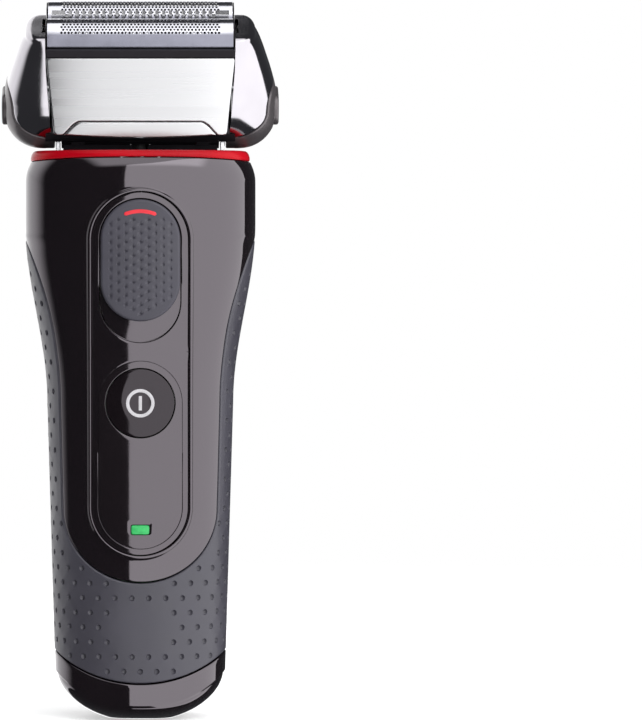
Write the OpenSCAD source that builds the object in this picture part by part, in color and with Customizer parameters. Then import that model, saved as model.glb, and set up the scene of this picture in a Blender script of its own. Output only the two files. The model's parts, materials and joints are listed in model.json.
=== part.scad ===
// Electric foil shaver: a handle with its inner works, a swinging head and a lift-off foil cassette.
// Millimetres. Origin: centre of the foot on the table. +Z up, the controls face -Y, +X to the right.

/* [Handle] */
// Half width just above the base edge
base_half_w = 19.3; // [17.5:0.1:20]
// Half width at the waist
waist_half_w = 21.1; // [20.5:0.1:22]
// Half width at the shoulder
shoulder_half_w = 26.1; // [25.8:0.1:27]
// Front depth from the middle plane, at the base
base_front_d = 14.2; // [13.5:0.1:15]
// Front depth at the waist
waist_front_d = 16.0; // [15.5:0.1:16.8]
// Front depth at the shoulder
shoulder_front_d = 16.9; // [16.5:0.1:17.6]
// Back depth at the base
base_back_d = 14.0; // [13.5:0.1:15]
// Back depth at the waist
waist_back_d = 16.0; // [15.5:0.1:16.8]
// Back depth at the shoulder
shoulder_back_d = 17.4; // [17:0.1:18]
// Height of the waist
waist_z = 72; // [66:1:76]
// Height where the flare ends
flare_top_z = 112; // [108:1:114]
// Height of the handle's top edge at the front
handle_h = 126.6; // [126:0.1:127.4]
// Roundness of the cross section, 2 is an ellipse
section_power = 2.5; // [2.3:0.1:2.8]
// Height of the base edge at the sides
dome_side_h = 11; // [9:0.5:12]
// Height of the base edge at the front
dome_front_h = 3.6; // [3.4:0.1:6]

/* [Shells] */
// Thickness of the rubber grip
grip_t = 1.4; // [1:0.1:1.8]
// Wall of the front and rear shells
shell_t = 1.7; // [1.4:0.1:2]
// Gap between parts that lie on each other
seat_gap = 0.15; // [0.1:0.05:0.25]
// Width of the open seam between outer parts
seam_gap = 0.3; // [0.2:0.05:0.4]
// Height of the seam between grip and base cap at the middle
cap_seam_z = 8.4; // [8:0.1:10]
// Radius of that seam's arc
cap_seam_r = 31; // [30:1:60]
// Radius of the gloss front's round lower end
bib_r = 16.3; // [16:0.1:17.6]
// Height of that round end's centre
bib_z = 47.8; // [46:0.5:50]
// Height where the grip's side tongue ends
tongue_top_z = 108.5; // [106:0.5:111]

/* [Controls] */
// Half width of the control panel
panel_half_w = 10.75; // [10.4:0.05:11]
// Lower end of the control panel
panel_low_z = 37.5; // [36.5:0.1:38.5]
// Upper end of the control panel
panel_high_z = 118.8; // [118:0.1:119.5]
// Width of the raised rim round the panel
rim_w = 1; // [0.7:0.1:1.2]
// How far the rim stands proud
rim_h = 0.45; // [0.3:0.05:0.6]
// Radius of the power button
button_r = 7.7; // [7:0.1:8]
// Height of the power button's centre
button_z = 71.6; // [70:0.1:73]
// Stroke of the power button
button_stroke = 0.8; // [0.5:0.1:1]
// Half width of the display panel
display_half_w = 9.4; // [9:0.1:9.8]
// Width of the lock slider
lock_w = 17.8; // [17:0.1:18]
// Length of the lock slider
lock_l = 27.3; // [26:0.1:28]
// Stroke of the lock slider
lock_stroke = 4.6; // [3:0.1:4.8]
// Running gap round the sliding and pressed controls
control_gap = 0.2; // [0.15:0.05:0.3]

/* [Head] */
// Height of the swing axis
pivot_z = 141; // [140.5:0.1:142]
// Forward tilt of the head at rest
head_tilt = 22; // [20:1:24]
// Furthest forward tilt
tilt_max = 32; // [28:1:32]
// Furthest backward tilt
tilt_min = -8; // [-8:1:0]
// Radius of the cradle's round underside
cradle_r = 12; // [11.6:0.1:12.2]
// Radius of a swing pin
pin_r = 1.6; // [1.3:0.1:2]
// Radial clearance of a running pin
run_gap = 0.05; // [0.03:0.01:0.08]
// Inner face of a side arm
arm_in_x = 21.6; // [21.5:0.1:22]
// Widest point of a side arm
arm_out_x = 31; // [30:0.1:31]
// Top of a side arm above the swing axis
arm_top = 16.6; // [16:0.1:19.6]
// How far a release button stands proud
release_proud = 0.3; // [0.2:0.1:0.8]
// Stroke of a release button
release_stroke = 1.2; // [0.8:0.1:1.4]
// Thickness of a swing bracket
bracket_t = 1; // [0.8:0.1:1.1]
// Width of a swing bracket
bracket_w = 6; // [5:0.1:6.4]

/* [Cassette] */
// Outer radius of a foil's arch
foil_r = 4; // [3.8:0.05:4.1]
// Distance of each foil's centre from the middle
foil_y = 6; // [5.9:0.05:6.2]
// Height of the foil arches' centre above the swing axis
foil_z = 16.2; // [16:0.1:16.5]
// Thickness of a foil
foil_t = 0.3; // [0.2:0.05:0.4]
// Half length of a foil
foil_half_l = 20.8; // [20:0.1:20.9]
// Float of the foils
foil_float = 1.5; // [1:0.1:1.6]
// Thickness of a cutter blade
blade_t = 0.3; // [0.2:0.05:0.4]
// Spacing of the cutter blades
blade_pitch = 1.5; // [1.2:0.05:2]
// Half length of a cutter block
cutter_half_l = 17.2; // [16:0.1:17.6]
// Half stroke of the drive
stroke = 0.9; // [0.6:0.1:1]
// Thickness of a steel cover plate
plate_t = 0.6; // [0.4:0.1:0.8]

/* [Hair trimmer] */
// Half width of the trimmer slide
trim_half_w = 10; // [9:0.1:10.4]
// Inner face of the trimmer slide
trim_in_y = 13.6; // [13.4:0.1:13.8]
// Lower end of the trimmer slide
trim_low_z = 85; // [82:0.5:90]
// Upper end of the trimmer slide's body
trim_high_z = 115.5; // [114:0.5:116]

/* [Works] */
// Radius of the motor
motor_r = 8; // [7:0.1:8.4]
// Length of the motor
motor_l = 28; // [24:0.5:30]
// Lower end of the motor
motor_z = 88; // [86:0.5:90]
// Radius of the motor shaft
shaft_r = 1.5; // [1:0.1:1.7]
// Radius of the drive pin
drive_pin_r = 1; // [0.8:0.1:1.2]
// Radius of the battery
battery_r = 7.1; // [6.5:0.1:7.4]
// Length of the battery
battery_l = 49; // [44:0.5:50]
// Lower end of the battery
battery_z = 21; // [20:0.5:23]
// Middle of the battery behind the middle plane
battery_y = 3.4; // [3:0.1:3.8]
// Thickness of the circuit board
board_t = 1.2; // [0.8:0.1:1.6]
// Width of the power socket's opening
socket_w = 10; // [9:0.1:10.4]
// Depth of the power socket's opening, front to back
socket_d = 6.6; // [6:0.1:7]
// How deep the power socket is
socket_h = 9; // [8:0.5:10]
// Radius of a socket pin
socket_pin_r = 0.8; // [0.6:0.05:0.9]

/* [Hidden] */

segs = 48;               // sides of one handle section
inner_off = grip_t + seat_gap;                 // depth of the shells' skin under the rubber
cavity_off = inner_off + shell_t;              // depth of the hollow
far = 200;               // longer than the whole shaver
foot_u = 0.89;           // how far down the dome the foot cuts it
edge_step = 0.5;         // size of the small bevel along the base edge
dome_power = 1.82;       // fullness of the dome
arch_drop = 0.8;         // how much lower the top edge is at the sides
shoulder_bevel = 1.2;    // how far the shoulder leans in
shoulder_z = 122;        // where the shoulder starts to lean in
over_top = 5;            // how far cutting forms run past the top edge

function mix(a, b, f) = a + (b - a) * f;
function clamp01(f) = min(1, max(0, f));
function smooth(f) = let (c = clamp01(f)) c * c * (3 - 2 * c);

// A size of the handle at height z, from its values at the base, waist and shoulder.
function handle_size(z, base, waist, shoulder) =
    mix(base, waist, (min(z, waist_z) - dome_side_h) / (waist_z - dome_side_h))
    + (shoulder - waist) * smooth((z - waist_z) / (flare_top_z - waist_z))
    - shoulder_bevel * pow(clamp01((z - shoulder_z) / (handle_h - shoulder_z)), 2);

// A point of the handle's skin: height z, angle t from the front, inset off.
function skin_xy(z, t, off) =
    let (a = handle_size(z, base_half_w, waist_half_w, shoulder_half_w) - off,
         b = (cos(t) >= 0 ? handle_size(z, base_front_d, waist_front_d, shoulder_front_d)
                          : handle_size(z, base_back_d, waist_back_d, shoulder_back_d)) - off,
         e = 2 / section_power)
    [a * sign(sin(t)) * pow(abs(sin(t)), e), -b * sign(cos(t)) * pow(abs(cos(t)), e)];

function edge_z(t) = mix(dome_front_h, dome_side_h, pow(abs(sin(t)), 2));
function top_drop(z, t) = arch_drop * pow(sin(t), 2) * smooth((z - flare_top_z) / (handle_h - flare_top_z));
function dome_scale(u) = pow(1 - pow(u, dome_power), 1 / dome_power);

// One ring of the dome below the base edge, u from 0 at the edge to foot_u at the foot.
function dome_ring(u, off) = [for (k = [0:segs - 1])
    let (t = 360 * k / segs, e = edge_z(t), p = skin_xy(e, t, off + edge_step))
    [p[0] * dome_scale(u), p[1] * dome_scale(u), off + (e - off - edge_step) * (1 - u / foot_u)]];

// One ring of the body, following the base edge below it and the arched top above.
function body_ring(z, off) = [for (k = [0:segs - 1])
    let (t = 360 * k / segs, zz = max(z, edge_z(t)), p = skin_xy(zz, t, off))
    [p[0], p[1], zz - top_drop(zz, t)]];

dome_us = [for (f = [1, 0.93, 0.82, 0.66, 0.46, 0.24, 0]) foot_u * f];
body_zs = concat([dome_front_h], [for (z = [dome_side_h:12.2:waist_z]) z + 0.4],
                 [for (i = [1:7]) mix(waist_z, flare_top_z, i / 7)],
                 [118, shoulder_z, mix(shoulder_z, handle_h, 0.5), handle_h]);

// A closed body through a stack of rings with equal point counts.
module loft(rings) {
    n = len(rings[0]);
    m = len(rings);
    low = m * n;
    function middle(r) = [0, 0, r[0][2] / 2 + r[n / 2][2] / 2];
    polyhedron(
        points = concat([for (r = rings) each r], [middle(rings[0]), middle(rings[m - 1])]),
        faces = concat(
            [for (i = [0:m - 2], k = [0:n - 1]) [i * n + k, (i + 1) * n + k, (i + 1) * n + (k + 1) % n]],
            [for (i = [0:m - 2], k = [0:n - 1]) [i * n + k, (i + 1) * n + (k + 1) % n, i * n + (k + 1) % n]],
            [for (k = [0:n - 1]) [k, (k + 1) % n, low]],
            [for (k = [0:n - 1]) [(m - 1) * n + (k + 1) % n, (m - 1) * n + k, low + 1]]),
        convexity = 8);
}

// The handle's outer form, drawn in by off on every side, and open-ended upwards by over_top.
module form(off) loft(concat([for (u = dome_us) dome_ring(u, off)], [for (z = body_zs) body_ring(z, off)],
                             [[for (p = body_ring(handle_h, off)) p + [0, 0, over_top]]]));

// The space above the handle's arched top edge.
module above_top()
    loft([for (h = [0, 2 * over_top]) [for (p = body_ring(handle_h, -over_top)) p + [0, 0, h]]]);

// Keeps a body made of smooth skins as one mesh.
module one_mesh() resize([0, 0, 0]) children();

// Pushes an outline drawn in X and Z through the front (side -1) or the back (side 1).
module through(side, from = 0, to = far)
    translate([0, side < 0 ? -from : to, 0]) rotate([90, 0, 0]) linear_extrude(to - from) children();

// The space below the arc of the base cap's seam.
module below_seam(shift = 0) through(1, -far, far) difference() {
    translate([-far, -far]) square([2 * far, far + cap_seam_z + cap_seam_r]);
    translate([0, cap_seam_z + cap_seam_r + shift]) circle(r = cap_seam_r, $fn = 96);
}

// Outline with a round lower end and sides that sweep out to the handle's edge at the top.
tongue_bend = 22.5;      // height over which the grip's tongue narrows
function bib_x(z) =
    let (u = clamp01((z - tongue_top_z + tongue_bend) / tongue_bend),
         edge = handle_size(z, base_half_w, waist_half_w, shoulder_half_w),
         t = 54.6 + 35.4 * (1 - sqrt(1 - u * u)))
    edge * pow(sin(t), 2 / section_power);
module bib(low_z, low_r) {
    rise = [for (i = [0:16]) mix(low_z, tongue_top_z, i / 16)];
    x0 = bib_x(low_z);
    side = concat([for (a = [-88:11:-11]) [x0 * cos(a), low_z + low_r * sin(a)]],
                  [for (z = rise) [bib_x(z), z]], [[far, tongue_top_z + 0.01], [far, 2 * handle_h]]);
    polygon(concat(side, [for (i = [len(side) - 1:-1:0]) [-side[i][0], side[i][1]]]));
}

// Upright outline with round ends.
module stadium(half_w, low, high) hull() {
    translate([0, low + half_w]) circle(r = half_w, $fn = 48);
    translate([0, high - half_w]) circle(r = half_w, $fn = 48);
}

function front_y(z, off = 0) = skin_xy(z, 0, off)[1];
function back_y(z, off = 0) = skin_xy(z, 180, off)[1];

/* ---- handle: shells ---- */
rear_bib_z = 78;                        // centre of the rear gloss field's round end
panel_t = 2;                            // thickness of the control panel
panel_back = shell_t + seat_gap;        // depth of the flange behind the front shell
flange_w = 1.6;                         // how far that flange reaches past the opening
channel_half_w = trim_half_w + 2 * control_gap;
channel_floor_y = trim_in_y - 2 * control_gap;
floor_t = 1.2;                          // thickness of the trimmer channel's floor
panel_open = panel_half_w + seat_gap;   // half width of the opening for the panel

module shell(side, low_z, low_r) {
    difference() {
        union() {
            form(inner_off);
            intersection() {
                form(0);
                through(side) bib(low_z, low_r);
            }
        }
        difference() {
            form(cavity_off);
            if (side > 0) translate([-channel_half_w - floor_t, channel_floor_y - floor_t, trim_low_z - 2])
                cube([2 * (channel_half_w + floor_t), far, far]);
        }
        below_seam(seam_gap);
        above_top();
        through(-side, -seat_gap / 2) translate([-far, -1]) square([2 * far, 3 * far]);
    }
}

module front_shell() color([0.06, 0.05, 0.06]) one_mesh() difference() {
    union() {
        difference() {
            shell(-1, bib_z, bib_r);
            intersection() {
                form(shell_t);
                through(-1) stadium(panel_open + 2 * flange_w, panel_low_z - 2 * flange_w,
                                    panel_high_z + 2 * flange_w);
            }
        }
        intersection() {
            form(-rim_h);
            through(-1, 8) stadium(panel_open + rim_w, panel_low_z - seat_gap - rim_w,
                                   panel_high_z + seat_gap + rim_w);
            difference() {
                translate([-far, -far, 0]) cube([2 * far, far, far]);
                form(shell_t);
            }
        }
    }
    through(-1) stadium(panel_open, panel_low_z - seat_gap, panel_high_z + seat_gap);
}

module rear_shell() color([0.07, 0.06, 0.07]) one_mesh() difference() {
    shell(1, rear_bib_z, bib_r);
    translate([-channel_half_w, channel_floor_y, trim_low_z - control_gap])
        cube([2 * channel_half_w, far, far]);
    for (x = contact_xs) through(1) translate([x, contact_z]) circle(r = contact_r + seat_gap, $fn = 24);
    for (z = screw_zs) through(1) translate([0, z]) circle(r = screw_r + seat_gap, $fn = 24);
}

module grip_sleeve() color([0.33, 0.34, 0.38]) one_mesh() difference() {
    form(0);
    form(grip_t);
    through(-1) offset(delta = seam_gap) bib(bib_z, bib_r);
    through(1) offset(delta = seam_gap) bib(rear_bib_z, bib_r);
    below_seam(seam_gap);
    for (x = contact_xs) through(1) translate([x, contact_z]) circle(r = contact_r + seat_gap, $fn = 24);
    for (z = screw_zs) through(1) translate([0, z]) circle(r = screw_r + seat_gap, $fn = 24);
}

module base_cap() color([0.05, 0.04, 0.05]) one_mesh() difference() {
    intersection() {
        form(0);
        below_seam();
    }
    intersection() {
        form(cavity_off);
        translate([-far, -far, socket_h + 2]) cube(2 * far);
    }
    translate([0, 0, -1]) linear_extrude(far)
        rounded_rect(socket_w + 2 * socket_t + 2 * seat_gap, socket_d + 2 * socket_t + 2 * seat_gap,
                     socket_round);
}

module rounded_rect(w, d, r) offset(r = r, $fn = 32) square([w - 2 * r, d - 2 * r], center = true);

/* ---- handle: controls ---- */
panel_inset = 0.15;                     // how far the panel lies below the skin
recess_depth = 1;                       // depth of the slider's recess
lock_top_z = panel_high_z - 1.6;
lock_low_z = lock_top_z - lock_l;
recess_half_w = lock_w / 2 + control_gap + 0.1;
recess_high_z = lock_top_z + control_gap;
recess_low_z = lock_low_z - lock_stroke - control_gap;
stem_half_w = 2.6;                      // half width of the slider's stem
stem_low_z = lock_low_z + 9;
stem_high_z = stem_low_z + 7;
stem_y = front_y(stem_low_z, recess_depth) - 0.5;
display_t = 0.9;                        // thickness of the display panel
display_low_z = panel_low_z + 1.4;
window_z = 43.2;                        // height of the charge window
window_w = 4.2;
window_h = 2.2;
window_round = 0.4;                     // radius of the charge window's corners
stem_r = 2.5;                           // radius of the power button's stem
stem_back_y = front_y(button_z) + 2.6;  // where that stem ends

module display_outline(grow = 0) hull() {
    translate([0, display_low_z + display_half_w]) circle(r = display_half_w + grow, $fn = 48);
    translate([0, button_z]) circle(r = display_half_w + grow, $fn = 48);
}

module control_panel() color([0.07, 0.06, 0.07]) one_mesh() difference() {
    union() {
        intersection() {
            form(panel_inset);
            through(-1) stadium(panel_half_w, panel_low_z, panel_high_z);
        }
        intersection() {
            form(panel_back);
            through(-1, 8) stadium(panel_open + flange_w, panel_low_z - flange_w, panel_high_z + flange_w);
        }
    }
    form(panel_back + panel_t);
    translate([-far, front_y(panel_low_z) / 2, -1]) cube(3 * far);
    difference() {
        through(-1) stadium(recess_half_w, recess_low_z, recess_high_z);
        form(recess_depth);
    }
    difference() {
        through(-1) display_outline(seat_gap / 2);
        form(panel_inset + display_t);
    }
    through(-1) translate([-stem_half_w - control_gap, stem_low_z - lock_stroke - control_gap])
        square([2 * (stem_half_w + control_gap), stem_high_z - stem_low_z + lock_stroke + 2 * control_gap]);
    through(-1) translate([0, button_z]) circle(r = button_r + control_gap, $fn = 48);
    through(-1) translate([0, window_z]) square([window_w, window_h], center = true);
}

module display_panel() color([0.1, 0.09, 0.1]) one_mesh() difference() {
    intersection() {
        form(panel_inset);
        through(-1) display_outline();
    }
    form(panel_inset + display_t - seat_gap / 2);
    through(-1) translate([0, button_z]) circle(r = button_r + control_gap, $fn = 48);
    through(-1) translate([0, window_z]) square([window_w + seat_gap, window_h + seat_gap], center = true);
}

module charge_window() color([0.15, 0.75, 0.4])
    translate([0, front_y(window_z, panel_inset + 0.05), window_z]) rotate([-90, 0, 0])
    linear_extrude(panel_t) rounded_rect(window_w - seat_gap, window_h - seat_gap, window_round);

module power_button() color([0.09, 0.08, 0.09]) one_mesh() difference() {
    union() {
        intersection() {
            form(panel_inset);
            through(-1) translate([0, button_z]) circle(r = button_r, $fn = 48);
            translate([-far, front_y(button_z) - 1, 0]) cube([2 * far, panel_t + 1, 3 * far]);
        }
        translate([0, front_y(button_z) + panel_t - 0.1, button_z]) rotate([-90, 0, 0])
            cylinder(r = stem_r, h = stem_back_y - front_y(button_z) - panel_t + 0.1, $fn = 32);
    }
    translate([0, front_y(button_z) - dish_r + dish_depth, button_z]) sphere(r = dish_r, $fn = 192);
}
dish_depth = 0.35;                      // depth of the dish in the power button
dish_r = 60;                            // radius of that dish

symbol_r = 3.2;                         // outer radius of the power symbol's ring
symbol_w = 0.77;                        // line width of the symbol
symbol_t = 0.12;                        // thickness of the printed symbol
symbol_gap = 0.05;                      // film under the symbol
module power_symbol() color([0.78, 0.77, 0.79]) intersection() {
    translate([0, front_y(button_z) - dish_r + dish_depth, button_z]) difference() {
        sphere(r = dish_r - symbol_gap, $fn = 96);
        sphere(r = dish_r - symbol_gap - symbol_t, $fn = 96);
    }
    translate([0, 0, button_z]) rotate([90, 0, 0]) linear_extrude(far) {
        difference() {
            circle(r = symbol_r, $fn = 48);
            circle(r = symbol_r - symbol_w, $fn = 48);
        }
        square([symbol_w, symbol_r], center = true);
    }
    translate([-far / 2, front_y(button_z) - symbol_r, 0]) cube([far, 2 * symbol_r, far]);
}

module lock_slider() color([0.36, 0.35, 0.39]) one_mesh() {
    difference() {
        intersection() {
            form(-slider_proud);
            through(-1) stadium(lock_w / 2, lock_low_z, lock_top_z);
        }
        form(recess_depth - control_gap);
    }
    translate([-stem_half_w, stem_y, stem_low_z])
        cube([2 * stem_half_w, carriage_y - stem_y, stem_high_z - stem_low_z]);
}

slider_proud = 0.6;                     // how far the slider stands proud of the skin
mark_r = 9.2;                           // radius of the arc-shaped mark
mark_w = 0.9;                           // its line width
mark_half_l = 3.6;                      // its half length
mark_h = 2.7;                           // how far below the slider's top the mark lies
mark_gap = 0.02;                        // film of paint under the mark
mark_t = 0.1;                           // thickness of the mark
module lock_mark() color([0.85, 0.05, 0.08]) one_mesh() difference() {
    form(-slider_proud - mark_gap - mark_t);
    form(-slider_proud - mark_gap);
    through(-1) difference() {
        translate([-far, 0]) square(4 * far);
        translate([0, lock_top_z - mark_h - mark_r]) intersection() {
            difference() {
                circle(r = mark_r + mark_w / 2, $fn = 64);
                circle(r = mark_r - mark_w / 2, $fn = 64);
            }
            translate([-mark_half_l, 0]) square([2 * mark_half_l, 2 * mark_r]);
        }
    }
    translate([-far, -1, -1]) cube(3 * far);
    translate([-far, -far, -far]) cube([2 * far, 2 * far, far + lock_low_z]);
}

rod_r = 1;                              // radius of the lock rod
rod_y = -10.8;                          // middle of the lock rod
carriage_in = 4.6;                      // depth of the lock carriage behind the skin
carriage_y = front_y(stem_low_z) + carriage_in;
carriage_t = 1.4;
carriage_half_w = 5;
carriage_reach = 2;                     // how far the carriage reaches past the stem
rod_high_z = handle_h + 1;              // tip of the rod when the head is locked
module lock_rod() color([0.7, 0.7, 0.72]) {
    translate([-carriage_half_w, carriage_y, stem_low_z - carriage_reach])
        cube([2 * carriage_half_w, carriage_t, stem_high_z - stem_low_z + 2 * carriage_reach]);
    translate([0, rod_y, stem_high_z]) cylinder(r = rod_r, h = rod_high_z - stem_high_z, $fn = 32);
    translate([-rod_r, carriage_y, stem_high_z - carriage_reach])
        cube([2 * rod_r, rod_y - carriage_y, 2 * carriage_reach]);
}

/* ---- handle: neck ---- */
neck_t = 1.8;                           // thickness of the neck plate
neck_top_z = handle_h - 0.2;
ring_low_z = handle_h + seat_gap;
ring_high_z = pivot_z - cradle_r - 0.7;
ring_w = 2.6;                           // width of the collar ring seen from above
function collar_ring_pts(z, off, drop) = [for (k = [0:segs - 1])
    let (t = 360 * k / segs, p = skin_xy(handle_h, t, off)) [p[0], p[1], z - drop * pow(sin(t), 2)]];

module collar_ring() color([0.86, 0.03, 0.1]) one_mesh() difference() {
    loft([collar_ring_pts(ring_low_z, 0.1, arch_drop), collar_ring_pts(ring_high_z, 1.2, 0)]);
    loft([collar_ring_pts(ring_low_z - 3, ring_w, 0), collar_ring_pts(ring_high_z + 3, ring_w, 0)]);
    translate([-channel_half_w, 0, 0]) cube([2 * channel_half_w, far, 3 * far]);
}

module neck_plate() color([0.05, 0.05, 0.05]) difference() {
    translate([0, 0, neck_top_z - neck_t]) linear_extrude(neck_t)
        polygon([for (k = [0:segs - 1]) skin_xy(handle_h, 360 * k / segs, cavity_off + seam_gap)]);
    cylinder(r = seal_r, h = 3 * far, $fn = 48);
    translate([0, rod_y, 0]) cylinder(r = rod_r + control_gap, h = 3 * far, $fn = 32);
    translate([-channel_half_w - floor_t, channel_floor_y - floor_t - seam_gap, 0])
        cube([2 * (channel_half_w + floor_t), far, far]);
}

seal_r = 3.4;                           // outer radius of the shaft seal
module shaft_seal() color([0.12, 0.12, 0.13]) translate([0, 0, neck_top_z - neck_t]) difference() {
    union() {
        cylinder(r = seal_r, h = neck_t, $fn = 48);
        translate([0, 0, neck_t]) cylinder(r = seal_r + 0.8, h = 0.6, $fn = 48);
    }
    translate([0, 0, -1]) cylinder(r = shaft_r + control_gap, h = 4, $fn = 48);
}

drum_half_l = 17.8;                     // half length of the cradle's drum
drum_gap = 0.3;                         // gap between that drum and a bracket
arm_gap = 0.25;                         // gap between a bracket and an arm
bracket_low_x = drum_half_l + drum_gap; // inner face of a bracket's foot
bracket_high_x = arm_in_x - arm_gap - bracket_t;
bend_low_z = handle_h + 3.8;            // where a bracket starts to bend out
bend_high_z = bend_low_z + 3;
bracket_end_r = bracket_w / 2;
module pivot_bracket(side) color([0.78, 0.78, 0.8]) mirror([side < 0 ? 1 : 0, 0, 0]) intersection() {
    translate([0, far, 0]) rotate([90, 0, 0]) linear_extrude(2 * far) polygon([
        [bracket_low_x, neck_top_z], [bracket_low_x + bracket_t, neck_top_z],
        [bracket_low_x + bracket_t, bend_low_z], [bracket_high_x + bracket_t, bend_high_z],
        [bracket_high_x + bracket_t, 2 * far], [bracket_high_x, 2 * far],
        [bracket_high_x, bend_high_z], [bracket_low_x, bend_low_z]]);
    rotate([90, 0, 90]) linear_extrude(far) {
        translate([-bracket_w / 2, neck_top_z]) square([bracket_w, pivot_z - neck_top_z]);
        translate([0, pivot_z]) circle(r = bracket_end_r, $fn = 48);
    }
}
module pivot_bracket_left() pivot_bracket(-1);
module pivot_bracket_right() pivot_bracket(1);

pin_reach = 3.4;                        // how deep a pin reaches into the arm
module pivot_pins() color([0.7, 0.7, 0.72]) for (side = [-1, 1])
    translate([side * (bracket_high_x + bracket_t), 0, pivot_z]) rotate([0, side * 90, 0])
        cylinder(r = pin_r, h = arm_in_x - bracket_high_x - bracket_t + pin_reach, $fn = 32);

/* ---- handle: works ---- */
contact_xs = [-5, 5];
contact_z = 21;                         // height of the charging contacts
contact_r = 1.7;
screw_zs = [29, 64];
screw_r = 1.9;
works_gap = 0.2;                        // play between the works and the frame that holds them
frame_y = battery_y - battery_r - 0.3;  // rear face of the inner frame's plate
frame_t = 1.4;
frame_half_w = 10;
frame_low_z = battery_z - 3;
shelf_half_w = 8;                       // half width of the shelves at the battery's ends
shelf_t = 1.6;
shelf_reach = 6;                        // how far a shelf reaches behind the battery's middle
shelf_high_z = battery_z + battery_l + 0.8;
seat_t = 1.6;                           // thickness of the motor's two seats
seat_wall = 1.2;
seat_low_z = motor_z - works_gap - seat_t;
strut_x = motor_r + 0.6;                // inner face of the struts beside the motor
strut_t = 1.8;
standoff_l = 2.4;                       // length of the board's stand-offs
standoff_w = 3;
standoff_xs = [-9, 6];
ear_in_x = bracket_low_x - 2;           // inner face of the ears under the brackets
ear_out_x = bracket_low_x + 1.5;
ear_h = 5.8;
ear_low_z = neck_top_z - neck_t - 6;
beam_t = 2;                             // beams from the motor's seat to the ears
board_y = frame_y - frame_t - standoff_l;   // rear face of the circuit board
board_low_z = 30;
board_high_z = 84;

module inner_frame() color([0.85, 0.85, 0.82]) difference() {
    union() {
        translate([-frame_half_w, frame_y - frame_t, frame_low_z])
            cube([2 * frame_half_w, frame_t, motor_z - frame_low_z]);
        for (z = [frame_low_z, shelf_high_z]) translate([-shelf_half_w, frame_y - frame_t, z])
            cube([2 * shelf_half_w, battery_y - frame_y + frame_t + shelf_reach, shelf_t]);
        translate([0, 0, seat_low_z]) linear_extrude(seat_t) hull() {
            circle(r = motor_r + seat_wall, $fn = 48);
            translate([-frame_half_w, frame_y - frame_t]) square([2 * frame_half_w, frame_t]);
        }
        translate([0, 0, motor_z + motor_l + works_gap])
            cylinder(r = motor_r + seat_wall, h = seat_t, $fn = 48);
        for (x = standoff_xs, z = [board_low_z + 8, board_high_z - 12]) translate([x, board_y + 0.1, z])
            cube([standoff_w, standoff_l, standoff_w]);
        for (side = [0, 1]) mirror([side, 0, 0]) {
            translate([strut_x, -bracket_w / 2, seat_low_z])
                cube([strut_t, bracket_w, motor_l + 2 * (seat_t + works_gap)]);
            translate([ear_in_x, -bracket_w / 2, ear_low_z]) cube([ear_out_x - ear_in_x, bracket_w, ear_h]);
            translate([strut_x, -bracket_w / 2, ear_low_z - beam_t])
                cube([ear_out_x - strut_x, bracket_w, beam_t]);
        }
    }
    translate([0, 0, motor_z + motor_l]) cylinder(r = boss_r + works_gap, h = 5 * seat_t, $fn = 48);
    translate([0, 0, seat_low_z - seat_t]) cylinder(r = end_r + 2 * works_gap, h = 3 * seat_t, $fn = 48);
}

boss_r = 3;                             // radius of the motor's front boss
boss_l = 1.5;
end_r = 4.2;                            // space for the terminals below the motor
motor_end_t = 4;                        // closed end of the motor below its bore
module motor() color([0.62, 0.62, 0.64]) difference() {
    union() {
        translate([0, 0, motor_z]) cylinder(r = motor_r, h = motor_l, $fn = 48);
        translate([0, 0, motor_z + motor_l]) cylinder(r = boss_r, h = boss_l, $fn = 48);
    }
    translate([0, 0, motor_z + motor_end_t]) cylinder(r = shaft_r + run_gap, h = motor_l, $fn = 48);
}

terminal_xs = [-2.6, 2.2];
terminal_t = 0.4;
terminal_w = 2;
terminal_l = 3.1;
module motor_terminals() color([0.75, 0.6, 0.3]) for (x = terminal_xs)
    translate([x, -terminal_w / 2, motor_z - terminal_l - 0.1]) cube([terminal_t, terminal_w, terminal_l]);

shaft_low_z = motor_z + motor_end_t + 0.3;
crank_z = pivot_z - 7.4;                // lower face of the crank disc
crank_t = 2;
crank_r = 2.8;
module motor_shaft() color([0.8, 0.8, 0.82]) {
    translate([0, 0, shaft_low_z]) cylinder(r = shaft_r, h = crank_z - shaft_low_z, $fn = 48);
    translate([0, 0, crank_z]) cylinder(r = crank_r, h = crank_t, $fn = 48);
    translate([stroke, 0, crank_z + crank_t])
        cylinder(r = drive_pin_r, h = pivot_z + bridge_t - crank_z - crank_t, $fn = 32);
}

nub_r = 2.6;                            // the battery's upper pole
nub_h = 1;
module battery() color([0.2, 0.45, 0.3]) translate([0, battery_y, battery_z]) {
    cylinder(r = battery_r, h = battery_l - nub_h, $fn = 48);
    translate([0, 0, battery_l - nub_h]) cylinder(r = nub_r, h = nub_h, $fn = 48);
}

tab_w = 6;
tab_t = 0.4;
tab_gap = 0.1;                          // gap between the battery and a tab
module battery_tabs() color([0.8, 0.8, 0.78])
    for (z = [battery_z - tab_t - tab_gap, battery_z + battery_l + tab_gap])
        translate([-tab_w / 2, battery_y - battery_r + 0.6, z]) cube([tab_w, battery_r + 2, tab_t]);

board_half_w = 9.4;
board_front_y = board_y - board_t;      // face of the board that carries the parts
module circuit_board() color([0.05, 0.3, 0.15]) translate([-board_half_w, board_front_y, board_low_z])
    cube([2 * board_half_w, board_t, board_high_z - board_low_z]);

switch_w = 6;
switch_t = 1.6;
switch_r = 1.7;
switch_gap = 0.1;                       // gap left to the button's stem when it is pressed
module power_switch() color([0.15, 0.15, 0.15]) {
    translate([-switch_w / 2, board_front_y - switch_t, button_z - switch_w / 2])
        cube([switch_w, switch_t, switch_w]);
    translate([0, board_front_y - switch_t, button_z]) rotate([90, 0, 0]) cylinder(r = switch_r,
        h = board_front_y - switch_t - stem_back_y - button_stroke - switch_gap, $fn = 32);
}

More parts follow.
